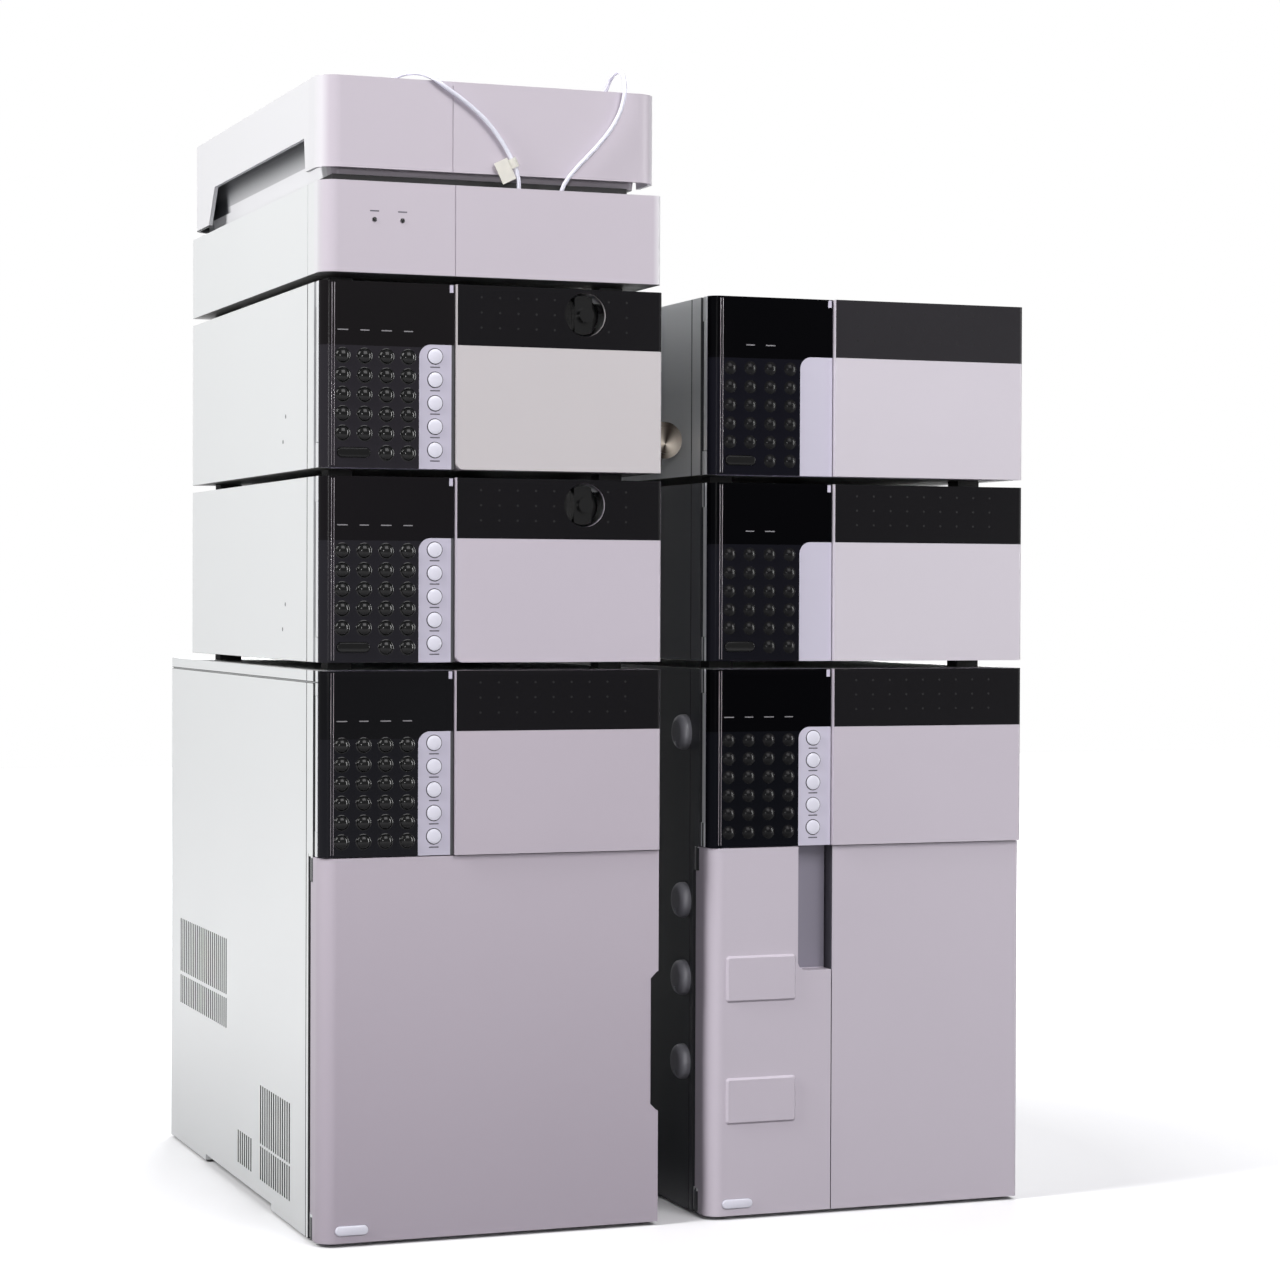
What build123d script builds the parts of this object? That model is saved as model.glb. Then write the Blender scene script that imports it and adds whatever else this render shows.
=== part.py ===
from build123d import *
import os
from math import pi, radians, tan

os.makedirs("parts", exist_ok=True)

# Two stacks of modules stand side by side. Sizes are in millimetres. Each module is drawn in its own
# coordinates: x from its left edge, y backwards from the plane of its panels, z up from the bench.

# The modules
module_width = 260.0
stack_gap = 40.0
module_depth = 420.0
sampler_depth = 500.0
tower_height = 415.0
unit_height = 140.0
degasser_height = 72.0
tray_height = 76.0
foot_height = 6.0
tower_foot_height = 2.0
foot_side = 18.0
foot_inset = 16.0
foot_front = 40.0

# Mains inlet and vent slots in each rear wall
inlet_x = 28.0
inlet_width = 28.0
inlet_height = 22.0
inlet_depth = 14.0
inlet_lift = 12.0
rear_slot_x = 110.0
rear_slot_pitch = 14.0
rear_slot_width = 5.0
rear_slot_depth = 6.0
rear_slot_margin = 20.0
rear_slot_top = 90.0
rear_slot_count = 8

# The hinged fronts
panel_height = 134.0
panel_width = 99.6
seam = 0.8
leaf_depth = 18.0
lower_leaf_depth = 30.0
leaf_wall = 2.4
door_proud = 3.5
panel_corner = 8.0
door_corner = 3.0
leaf_to_case = 2.0
knuckle_radius = 4.9
knuckle_inset = 0.1
knuckle_end = 18.0
knuckle_gap = 0.3
pin_radius = 1.5
pin_length = 5.0
pin_clearance = 0.05
knuckle_clearance = 0.8
bezel_depth = 18.0
groove = 1.0

# Film, strip and band on the panels
film_thickness = 1.2
strip_left = 73.0
strip_height = 90.0
strip_corner = 9.0
key_x = 85.0
key_radius = 5.2
key_rise = 0.8
key_first_z = 13.8
key_pitch = 16.95
key_count = 5
lens_width = 2.7
lens_height = 5.5
lens_drop = 0.5
lens_rise = 0.3
band_height = 44.0
band_inset = 0.5
window_corner = 5.0

# Power buttons
button_x = 24.2
button_z = 11.0
button_width = 24.5
button_height = 7.0
button_rise = 0.6
button_clearance = 0.3
button_flange = 2.0
button_flange_thickness = 1.5
button_flange_gap = 0.25
button_body = 4.0

# Compartments behind the doors
rim = 8.0
compartment_depth = 130.0
upper_compartment = 60.0
recess_depth = 6.0
chamber_wall = 14.0
chamber_floor = 16.0
sampler_chamber = sampler_depth - 110.0
oven_chamber = module_depth - 130.0

# The tall modules' lower doors
lower_door_corner = 12.0
lower_button_z = 9.0
notch_bottom = 86.0
notch_height = 104.0
notch_width = 7.0
notch_depth = 16.0
oven_left_width = 100.8
grip_bottom = 186.0
grip_width = 27.5
grip_depth = 14.0
grip_corner = 7.0
plate_x = 14.5
plate_width = 57.0
plate_height = 35.0
plate_rise = 1.8
plate_corner = 2.5
plate_z = (69.0, 161.0)
arch_front = 142.0
arch_rear = module_depth - 54.0
arch_height = 5.0
lid_height = 8.0

# Inside the autosampler
rail_y = 200.0
rail_width = 12.0
rail_drop = 55.0
rail_height = 18.0
rail_clearance = 0.3
arm_wall = 6.0
arm_width = 34.0
needle_y = 110.0
needle_side = 12.0
needle_drop = 30.0
needle_top = 6.0
needle_length = 60.0
needle_radius = 0.8
rack_margin = 35.0
rack_y = 62.0
rack_length = 96.0
rack_height = 40.0
rack_floor = 8.0
rack_columns = 6
rack_rows = 3
vial_radius = 6.2

# Inside the oven, and the clips on its left wall
heater_width = 96.0
heater_room = 71.0
heater_depth = 40.0
heater_z = 34.0
column_radius = 6.4
column_length = 150.0
column_pitch = 44.0
column_nut = 14.0
column_clearance = 0.3
clip_radius = 13.5
clip_rise = 8.0
clip_y = 48.5
clip_notch = 3.0
clip_level = (0.275, 0.43, 0.573, 0.882)

# Mixer beside pump 1, and the detector's flow cell
mixer_reach = 19.5
mixer_y = 42.0
mixer_z = 27.0
mixer_radius = 14.0
mixer_length = 18.0
cell_x = 160.0
cell_z = 40.0
cell_side = 44.0

# Drain valve and pump heads
valve_x = 199.3
valve_z = 115.5
window_radius = 16.0
knob_radius = 14.4
knob_cap_radius = 5.6
knob_cap_offset = 1.4
knob_front = -2.4
knob_length = 20.0
knob_lever_width = 13.6
knob_lever_depth = 12.0
knob_cap_proud = 4.0
knob_stem_radius = 3.0
knob_stem_length = 10.0
stem_clearance = 0.05
valve_block_side = 15.0
head_radius = 18.0
head_length = 46.0
head_z = 52.0
head_pitch = 58.0
head_plate = 8.0
check_valve_radius = 6.5
check_valve_reach = 12.0
head_nose = 6.0
head_side = 14.0
head_plate_side = 8.0
head_plate_right = 20.0

# Reservoir tray
tray_setback = 7.0
tray_corner = 16.0
tray_wall = 3.0
tray_rim = 9.0
tray_floor = 5.0
tray_taper = 7.0
tray_front_relief = 4.2
handle_height = 29.0
handle_front = 50.0
handle_rear = module_depth - 80.0
handle_slant = 14.0
seam_groove = 0.8
plinth_inset = 12.0
plinth_right = 238.0
plinth_front = 15.0

# Degasser front and its ports
degasser_corner = 12.0
degasser_wall = 2.2
port_radius = 4.0
port_height = 12.0
port_y = 9.5
port_ledge_drop = 34.0
lamp_radius = 1.75
lamp_rise = 0.4
lamp_x = (39.3, 60.2)
lamp_z = 38.5
port_x = (118.0, 150.0, 182.0, 214.0)
port_clearance = 0.3

# Suction tubes, with their filters and the tag. Each route is a list of points in the left stack's own
# coordinates, measured up from the degasser's base: from one of its ports over the tray's front rim to the
# tray's floor.
tube_diameter = 3.2
tube_route_a = [
    (150, 9.5, 50), (150, 9.5, 56.5), (149.9, 7.2, 64.5), (149.9, 4.7, 72.5), (149.6, 3.9, 79),
    (147.6, 3.2, 86), (142.8, 3.2, 95.8), (136.4, 3.2, 106.2), (128.4, 3.2, 116.4), (118, 3.2, 126.4),
    (105.6, 3.2, 135.4), (93, 3.4, 143.4), (81.6, 5, 151), (71.6, 12, 154), (62.6, 22, 152.6),
    (55, 32, 145), (49, 42, 133), (45, 54, 117), (42.5, 70, 102), (42.5, 90, 91.5),
    (45, 114, 86), (51.5, 142, 85.2), (60, 176, 85.2), (72, 214, 85.2), (93, 248, 85.2),
    (126, 269, 85.2), (161, 271, 85.2), (191, 255, 85.6), (210, 227, 87.4), (216, 200, 88.2),
]
tube_route_b = [
    (182, 9.5, 50), (182, 9.5, 57), (182.2, 6.8, 65.5), (183.2, 4.7, 74), (187.6, 3.6, 82),
    (194.8, 3.2, 90.6), (203.6, 3.2, 99.4), (212.4, 3.2, 109), (220.6, 3.2, 119), (227.2, 3.2, 130),
    (231, 3, 141.5), (232.2, 3.2, 152), (232.4, 8, 161), (232, 17, 165.5), (231, 27.5, 164),
    (230, 37, 157), (229, 44, 145), (228, 49, 131), (226, 55, 116), (223, 64, 102),
    (218, 78, 92.5), (211, 98, 87), (200, 121, 85.2), (182, 142, 85.2), (157, 154, 85.2),
    (129, 153, 85.2), (106, 139, 85.2), (94, 115, 85.6), (98, 89, 87.2), (113, 68, 88.2),
]
filter_radius = 5.0
filter_length = 26.0
filter_neck_radius = 2.6
filter_neck_length = 6.0
tag_run = 5
tag_width = 11.0
tag_length = 16.5
tag_rise = 5.5
tag_thickness = 0.7
tag_ring_radius = 3.2
tag_ring_length = 7.0
tag_clearance = 0.25

# Side vents of the autosampler
vent_width = 3.4
vent_wall = 1.0
vent_pocket = 9.0
vent_back = 36.0
vent_length = 172.0
vent_rear = sampler_depth - vent_back
vent_groups = (
    (vent_rear - vent_length, vent_rear, 148.0, 193.0), (vent_rear - vent_length, vent_rear, 121.0, 145.0),
    (85.0, 178.0, 47.0, 92.0), (85.0, 178.0, 19.0, 45.0), (206.0, 252.0, 20.0, 46.0),
)

stack_width = 2 * module_width + stack_gap
left_x = -stack_width / 2
right_x = left_x + module_width + stack_gap
front_y = (door_proud - sampler_depth) / 2
pivot_x = knuckle_radius + knuckle_inset
door_left = panel_width + seam
door_width = module_width - door_left
tower_panel_z = tower_height - panel_height
rail_z = tower_panel_z - rail_drop
heater_height = tower_panel_z - heater_room
rack_width = module_width - 2 * rack_margin
mixer_x = module_width + mixer_reach
lower_door_bottom = tower_foot_height + 1.0
lower_door_height = tower_panel_z - seam - lower_door_bottom
unit_z = [tower_height, tower_height + unit_height]
degasser_z = unit_z[1] + unit_height
tray_z = degasser_z + degasser_height


def block(x0, x1, y0, y1, z0, z1):
    """A box between two corners."""
    return Pos((x0 + x1) / 2, (y0 + y1) / 2, (z0 + z1) / 2) * Box(x1 - x0, y1 - y0, z1 - z0)


def post(x, y, z0, z1, radius):
    """An upright cylinder."""
    return Pos(x, y, (z0 + z1) / 2) * Cylinder(radius, z1 - z0)


def rod(x, z, y0, y1, radius):
    """A cylinder that runs front to back."""
    return Pos(x, (y0 + y1) / 2, z) * Rot(90, 0, 0) * Cylinder(radius, y1 - y0)


def pill(x, z, y0, y1, width, height):
    """An upright stadium, extruded front to back."""
    outline = Pos(x, y0, z) * Rot(-90, 0, 0) * SlotOverall(width, height)
    return extrude(outline, amount=y1 - y0, dir=(0, 1, 0))


def front_corner(width, y0, y1, z0, z1, corner, left=0.0):
    """A block whose upright front left edge is rounded."""
    solid = block(left, width, y0, y1, z0, z1)
    edge = solid.edges().filter_by(Axis.Z).sort_by(lambda e: e.center().X + e.center().Y)[0]
    return fillet(edge, corner)


def knuckle_spans(height):
    """The heights of the two fixed knuckles and of the leaf's own knuckle between them."""
    low = (0.0, knuckle_end)
    high = (height - knuckle_end, height)
    middle = (knuckle_end + knuckle_gap, height - knuckle_end - knuckle_gap)
    return low, high, middle


def leaf(width, height, depth, front, corner):
    """The solid outside of a hinged front, and the hollow behind its face, hinged at its left edge."""
    pivot_y = depth - pivot_x
    low, high, middle = knuckle_spans(height)
    shell = front_corner(width, front, pivot_y, 0, height, corner)
    shell += block(2 * pivot_x, width, pivot_y, depth, 0, height)
    inside = front + film_thickness + leaf_wall
    hollow = block(2 * pivot_x + leaf_wall, width - leaf_wall, inside, depth, leaf_wall, height - leaf_wall)
    shell += post(pivot_x, pivot_y, *middle, knuckle_radius)
    inner_x = 2 * pivot_x + leaf_wall + 0.1
    behind = pivot_y - knuckle_radius - leaf_wall / 2
    near = block(leaf_wall, inner_x, inside, behind, leaf_wall, height - leaf_wall)
    clear = knuckle_radius + knuckle_clearance
    for z0, z1 in (low, high):
        hollow += block(-1, inner_x, pivot_y - clear, depth, z0 - knuckle_gap, z1 + knuckle_gap)
        near += block(leaf_wall, inner_x, inside, pivot_y, max(z0, leaf_wall), min(z1, height - leaf_wall))
    inner_corner = corner - leaf_wall
    hollow += near & front_corner(width, inside, depth, 0, height, inner_corner, left=leaf_wall)
    bore = pin_length + knuckle_gap
    for z0, z1 in ((middle[0], middle[0] + bore), (middle[1] - bore, middle[1])):
        hollow += post(pivot_x, pivot_y, z0, z1, pin_radius + pin_clearance)
    return shell, hollow


def fixed_knuckles(height, depth):
    """The case's two knuckles, with the stub pins that carry the leaf."""
    pivot_y = depth - pivot_x
    low, high, middle = knuckle_spans(height)
    solid = None
    for z0, z1 in (low, high):
        barrel = post(pivot_x, pivot_y, z0, z1, knuckle_radius)
        barrel += block(1.5, 2 * pivot_x - 0.5, pivot_y, depth + leaf_to_case, z0, z1)
        solid = barrel if solid is None else solid + barrel
    solid += post(pivot_x, pivot_y, low[1] - 1, low[1] + pin_length, pin_radius)
    solid += post(pivot_x, pivot_y, high[0] - pin_length, high[0] + 1, pin_radius)
    return solid


def mirrored(solid, width):
    """The same solid with its left and right exchanged."""
    return Pos(width, 0, 0) * mirror(solid, about=Plane.YZ)


places = {"left": left_x, "right": right_x}


def write(name, stack, z, shape):
    """Moves a module's piece to its place in the stacks and writes it."""
    moved = Pos(places[stack], front_y, z) * shape
    moved.label = name
    export_step(moved, f"parts/{name}.step")


def keypad_panel(name, stack, z, with_button, with_keys):
    """The display and key panel, its glossy film and its power button, hinged at the left."""
    shell, hollow = leaf(panel_width, panel_height, leaf_depth, 0.0, panel_corner)
    film_end = leaf_depth - pivot_x - knuckle_radius - knuckle_clearance - 0.3
    film = front_corner(panel_width, 0, leaf_depth, 0, panel_height, panel_corner)
    film -= front_corner(
        panel_width + 1, film_thickness, leaf_depth + 1, -1, panel_height + 1,
        panel_corner - film_thickness, film_thickness,
    )
    film &= block(-1, panel_width + 1, -1, film_end, -1, panel_height + 1)
    strip = block(strip_left, panel_width + 1, -1, film_end, -1, strip_height)
    strip_edge = strip.edges().filter_by(Axis.Y).sort_by(lambda e: e.center().X - e.center().Z)[0]
    film -= fillet(strip_edge, strip_corner)
    panel = shell - film - hollow
    for i in range(key_count if with_keys else 0):
        panel += rod(key_x, key_first_z + i * key_pitch, -key_rise, 1, key_radius)
    lens_x = panel_width - 1.0 - lens_width
    lens_top = panel_height - lens_drop
    film -= block(lens_x, lens_x + lens_width, -1, film_thickness, lens_top - lens_height, lens_top)
    lens_end = film_thickness + 1
    panel += block(lens_x, lens_x + lens_width, -lens_rise, lens_end, lens_top - lens_height, lens_top)
    if with_button:
        cut = pill(
            button_x, button_z, -1, leaf_depth,
            button_width + 2 * button_clearance, button_height + 2 * button_clearance,
        )
        film -= cut
        panel -= cut
        power_button(name, stack, z, 0.0, button_z)
    write(f"{name}_keypad_film", stack, z, film)
    write(f"{name}_keypad_panel", stack, z, panel)


def power_button(name, stack, z, front, height):
    """An oval push button whose flange is caught behind the panel's wall."""
    back = front + film_thickness + leaf_wall + button_flange_gap
    button = pill(button_x, height, front - button_rise, back + button_body, button_width, button_height)
    button += pill(
        button_x, height, back, back + button_flange_thickness,
        button_width + 2 * button_flange, button_height + 2 * button_flange,
    )
    write(f"{name}_power_button", stack, z, button)


def upper_door(name, stack, z, window):
    """The light door beside the keypad, with its glossy band along the top."""
    shell, hollow = leaf(door_width, panel_height, leaf_depth, -door_proud, door_corner)
    band_front = block(
        -1, door_width - band_inset, -door_proud - 1, film_thickness - door_proud,
        panel_height - band_height, panel_height + 1,
    )
    band = shell & band_front
    door = shell - band_front - hollow
    if window:
        hole = rod(module_width - valve_x, valve_z, -door_proud - 1, film_thickness, window_radius)
        band -= hole
        door -= hole
        round_x = door_width - window_corner
        sharp = block(round_x, door_width + 1, -door_proud - 1, leaf_depth + 1, -1, window_corner)
        door -= sharp - rod(round_x, window_corner, -door_proud - 2, leaf_depth + 2, window_corner)
    write(f"{name}_door", stack, z, Pos(door_left, 0, 0) * mirrored(door, door_width))
    write(f"{name}_door_band", stack, z, Pos(door_left, 0, 0) * mirrored(band, door_width))


def case_body(depth, height, bottom, top_front, lower_front=None):
    """A module's case behind its fronts, with the fine joint between bezel and cover."""
    body = block(0, module_width, top_front, depth, bottom, height)
    if lower_front is not None:
        body -= block(-1, module_width + 1, top_front - 1, lower_front, bottom - 1, tower_panel_z - seam)
    y = top_front + bezel_depth
    ring = block(-1, module_width + 1, y, y + groove, bottom - 1, height + 1)
    ring -= block(groove, module_width - groove, y - 1, y + 2 * groove, bottom + groove, height - groove)
    return body - ring


def rear_details(depth, bottom, height):
    """The mains inlet's pocket and a row of upright vent slots in the rear wall."""
    inlet_z = bottom + inlet_lift
    inlet_right = inlet_x + inlet_width
    cut = block(inlet_x, inlet_right, depth - inlet_depth, depth + 1, inlet_z, inlet_z + inlet_height)
    slot_bottom = bottom + rear_slot_margin
    slot_top = min(height - rear_slot_margin, bottom + rear_slot_top)
    for i in range(rear_slot_count):
        x = rear_slot_x + i * rear_slot_pitch
        cut += block(x, x + rear_slot_width, depth - rear_slot_depth, depth + 1, slot_bottom, slot_top)
    return cut


def upper_hinges():
    """Knuckles for the keypad panel and for the door."""
    solid = fixed_knuckles(panel_height, leaf_depth)
    solid += Pos(door_left, 0, 0) * mirrored(fixed_knuckles(panel_height, leaf_depth), door_width)
    return solid


def unit(name, stack, z, window, compartment, with_keys):
    """A low module: case, keypad panel and door."""
    bezel = leaf_depth + leaf_to_case
    body_height = unit_height - foot_height
    body = case_body(module_depth, body_height, 0, bezel)
    body -= block(2 * rim, panel_width - rim, bezel - 1, bezel + recess_depth, rim, body_height - rim)
    inner = bezel + compartment
    body -= block(door_left + rim, module_width - rim - 2, bezel - 1, inner, rim, body_height - rim)
    body -= rear_details(module_depth, 0, body_height)
    body += upper_hinges()
    write(f"{name}_case", stack, z, body)
    keypad_panel(name, stack, z, True, with_keys)
    upper_door(name, stack, z, window)


def pump(number, z):
    """A pump: its module, the two pump heads behind the door, and the drain valve with its knob."""
    name = f"pump_{number}"
    unit(name, "left", z, True, compartment_depth, True)
    back = leaf_depth + leaf_to_case + compartment_depth
    plate_x = door_left + rim + head_plate_side
    half = valve_block_side / 2
    top = min(valve_z + half, panel_height - rim)
    plate_front = back - head_plate
    heads = block(plate_x, module_width - head_plate_right, plate_front, back, 2 * rim, top)
    nose = plate_front - head_length
    reach = head_radius + check_valve_reach
    for i in range(2):
        x = plate_x + head_radius + head_side + i * head_pitch
        heads += rod(x, head_z, nose, plate_front, head_radius)
        heads += rod(x, head_z, nose - head_nose, nose, head_radius / 2)
        heads += post(x, nose + head_length / 2, head_z - reach, head_z + reach, check_valve_radius)
    valve_front = knob_front + knob_length
    stem_end = valve_front + knob_cap_proud + knob_stem_length
    heads += block(valve_x - half, valve_x + half, valve_front + knob_cap_proud, back, valve_z - half, top)
    heads -= rod(valve_x, valve_z, valve_front, stem_end + 1, knob_stem_radius + stem_clearance)
    write(f"{name}_heads", "left", z, heads)
    lever_front = knob_front + knob_cap_proud
    lever_back = knob_front + knob_lever_depth
    lever = rod(valve_x, valve_z, lever_front, valve_front, knob_radius)
    for side in (-1, 1):
        inner = valve_x + side * knob_lever_width / 2
        outer = inner + side * knob_radius
        lever -= block(
            min(inner, outer), max(inner, outer), lever_front - 1, lever_back,
            valve_z - knob_radius, valve_z + knob_radius,
        )
    cap_x = valve_x + knob_cap_offset
    knob = lever + rod(cap_x, valve_z, knob_front, lever_back, knob_cap_radius)
    knob += rod(valve_x, valve_z, valve_front - 1, stem_end, knob_stem_radius)
    write(f"{name}_drain_knob", "left", z, knob)


def tower_case(depth):
    """The body of a tall module, with knuckles for its display panel and the arch under its middle."""
    bezel = leaf_depth + leaf_to_case
    lower_bezel = lower_leaf_depth + leaf_to_case
    body = case_body(depth, tower_height, tower_foot_height, bezel, lower_bezel)
    low = tower_panel_z + rim
    body -= block(2 * rim, panel_width - rim, bezel - 1, bezel + recess_depth, low, tower_height - rim)
    body -= block(-1, module_width + 1, arch_front, arch_rear, 0, tower_foot_height + arch_height)
    body -= rear_details(depth, tower_foot_height, tower_height)
    body += Pos(0, 0, tower_panel_z) * upper_hinges()
    return body


def side_vents(y0, y1, z0, z1):
    """One group of upright slots through the left wall, with the space behind them."""
    count = int((y1 - y0 + vent_width) / (2 * vent_width))
    pitch = (y1 - y0 - vent_width) / (count - 1)
    cut = block(vent_wall, vent_wall + vent_pocket, y0, y1, z0, z1)
    for i in range(count):
        y = y0 + i * pitch
        cut += block(-1, vent_wall + 1, y, y + vent_width, z0, z1)
    return cut


def lower_hinges(x, width, hinge_right):
    """Knuckles for one lower door between x and x + width."""
    solid = fixed_knuckles(lower_door_height, lower_leaf_depth)
    if hinge_right:
        solid = mirrored(solid, width)
    return Pos(x, 0, lower_door_bottom) * solid


def sampler():
    """The tall cooled autosampler, with its rack, needle arm and needle."""
    body = tower_case(sampler_depth)
    bezel = leaf_depth + leaf_to_case
    lower_bezel = lower_leaf_depth + leaf_to_case
    body -= block(door_left + rim, module_width - rim - 2, bezel - 1, bezel + upper_compartment,
                  tower_panel_z + rim, tower_height - rim - lid_height)
    chamber_rear = lower_bezel + sampler_chamber
    body -= block(chamber_wall, module_width - chamber_wall, lower_bezel - 1, chamber_rear,
                  chamber_floor, tower_panel_z - chamber_wall)
    for y0, y1, z0, z1 in vent_groups:
        body -= side_vents(y0, y1, z0, z1)
    lid_z = tower_height - lid_height
    lid_line = block(-1, module_width + 1, -1, sampler_depth + 1, lid_z - groove, lid_z)
    lid_line -= block(groove, module_width - groove, bezel + groove, sampler_depth - groove, 0, tower_height)
    body -= lid_line
    body += lower_hinges(0, module_width, False)
    rail_top = rail_z + rail_height
    body += block(chamber_wall, module_width - chamber_wall, rail_y, rail_y + rail_width, rail_z, rail_top)
    write("sampler_case", "left", 0, body)

    shell, hollow = leaf(module_width, lower_door_height, lower_leaf_depth, 0, lower_door_corner)
    notch_z = notch_bottom - lower_door_bottom
    notch_x = module_width - notch_width
    notch = block(notch_x, module_width + 1, -1, notch_depth, notch_z, notch_z + notch_height)
    edges = notch.edges().filter_by(Axis.Y).sort_by(Axis.X)[:2]
    notch = chamfer(edges, notch_width - 1)
    frame = block(module_width - notch_width - leaf_wall, module_width, leaf_wall, notch_depth + leaf_wall,
                  notch_z - leaf_wall, notch_z + notch_height + leaf_wall)
    door = shell - hollow + frame - notch
    button_hole = pill(button_x, lower_button_z, -1, lower_leaf_depth, button_width + 2 * button_clearance,
                       button_height + 2 * button_clearance)
    write("sampler_lower_door", "left", lower_door_bottom, door - button_hole)
    power_button("sampler", "left", lower_door_bottom, 0, lower_button_z)
    keypad_panel("sampler", "left", tower_panel_z, False, True)
    upper_door("sampler", "left", tower_panel_z, False)

    rack_top = chamber_floor + rack_height
    rack = block(rack_margin, rack_margin + rack_width, rack_y, rack_y + rack_length, chamber_floor, rack_top)
    for i in range(rack_columns):
        for j in range(rack_rows):
            x = rack_margin + (i + 0.5) * rack_width / rack_columns
            y = rack_y + (j + 0.5) * rack_length / rack_rows
            rack -= post(x, y, chamber_floor + rack_floor, rack_top + 1, vial_radius)
    write("sampler_rack", "left", 0, rack)

    x = module_width / 2
    top = rail_z + rail_height + rail_clearance + arm_wall
    bottom = rail_z - arm_wall
    arm = block(x - arm_width / 2, x + arm_width / 2, needle_y - arm_width / 2,
                rail_y + rail_width + rail_clearance + arm_wall, bottom, top)
    arm -= block(0, module_width, rail_y - rail_clearance, rail_y + rail_width + rail_clearance,
                 bottom - 1, rail_z + rail_height + rail_clearance)
    side = needle_side / 2 + rail_clearance
    arm -= block(x - side, x + side, needle_y - side, needle_y + side, bottom - 1, top + 1)
    write("sampler_needle_arm", "left", 0, arm)
    needle = block(x - needle_side / 2, x + needle_side / 2, needle_y - needle_side / 2,
                   needle_y + needle_side / 2, bottom - needle_drop, top + needle_top)
    needle += post(x, needle_y, bottom - needle_drop - needle_length, bottom - needle_drop, needle_radius)
    write("sampler_needle", "left", 0, needle)


def oven():
    """The column oven, with two lower doors, its heater block and two columns."""
    body = tower_case(module_depth)
    lower_bezel = lower_leaf_depth + leaf_to_case
    chamber_rear = lower_bezel + oven_chamber
    body -= block(door_left + rim, module_width - rim - 2, lower_bezel - 1, chamber_rear,
                  chamber_floor, tower_panel_z - chamber_wall)
    body += lower_hinges(0, oven_left_width, False)
    body += lower_hinges(oven_left_width + seam, module_width - oven_left_width - seam, True)
    write("oven_case", "right", 0, body)

    shell, hollow = leaf(oven_left_width, lower_door_height, lower_leaf_depth, 0, lower_door_corner)
    low = grip_bottom - lower_door_bottom
    grip_x = oven_left_width - grip_width
    grip = block(grip_x, oven_left_width + 1, -1, grip_depth, low, lower_door_height + 1)
    grip_edge = grip.edges().filter_by(Axis.Y).sort_by(lambda e: e.center().X + e.center().Z)[0]
    grip = fillet(grip_edge, grip_corner)
    lining = block(
        grip_x - leaf_wall, oven_left_width, leaf_wall, grip_depth + leaf_wall,
        low - leaf_wall, lower_door_height,
    )
    door = shell - hollow + lining - grip
    for z in plate_z:
        plate = block(plate_x, plate_x + plate_width, -plate_rise, 1, z, z + plate_height)
        plate = fillet(plate.edges().filter_by(Axis.Y), plate_corner)
        front = plate.faces().sort_by(Axis.Y)[0]
        door += chamfer(front.edges(), plate_rise - 0.2)
    door -= pill(button_x, lower_button_z, -1, lower_leaf_depth, button_width + 2 * button_clearance,
                 button_height + 2 * button_clearance)
    write("oven_left_door", "right", lower_door_bottom, door)
    power_button("oven", "right", lower_door_bottom, 0, lower_button_z)

    width = module_width - oven_left_width - seam
    shell, hollow = leaf(width, lower_door_height, lower_leaf_depth, 0, door_corner)
    door = Pos(oven_left_width + seam, 0, 0) * mirrored(shell - hollow, width)
    write("oven_right_door", "right", lower_door_bottom, door)
    keypad_panel("oven", "right", tower_panel_z, False, True)
    upper_door("oven", "right", tower_panel_z, False)

    middle = (door_left + module_width) / 2
    block_front = chamber_rear - heater_depth
    heater = block(middle - heater_width / 2, middle + heater_width / 2, block_front, chamber_rear,
                   heater_z, heater_z + heater_height)
    columns = None
    for side in (-1, 1):
        x = middle + side * column_pitch / 2
        y = block_front - column_clearance
        heater -= post(x, y, heater_z - 1, heater_z + heater_height + 1, column_radius + column_clearance)
        z0 = heater_z + (heater_height - column_length) / 2
        column = post(x, y, z0, z0 + column_length, column_radius)
        column += post(x, y, z0 - column_nut, z0 + 1, column_radius * 0.75)
        column += post(x, y, z0 + column_length - 1, z0 + column_length + column_nut, column_radius * 0.75)
        columns = column if columns is None else columns + column
    write("oven_heater_block", "right", 0, heater)
    write("oven_columns", "right", 0, columns)

    clips = None
    for level in clip_level:
        z = level * tower_height
        disc = Pos(-clip_rise / 2, clip_y, z) * Rot(0, 90, 0) * Cylinder(clip_radius, clip_rise)
        disc = fillet(disc.faces().sort_by(Axis.X)[0].edges(), clip_rise * 0.7)
        disc -= block(-clip_rise - 1, -clip_rise / 2, clip_y - clip_notch / 2, clip_y + clip_notch / 2,
                      z - clip_radius - 1, z - clip_radius / 2)
        clips = disc if clips is None else clips + disc
    write("oven_tube_clips", "right", 0, clips)


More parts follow.
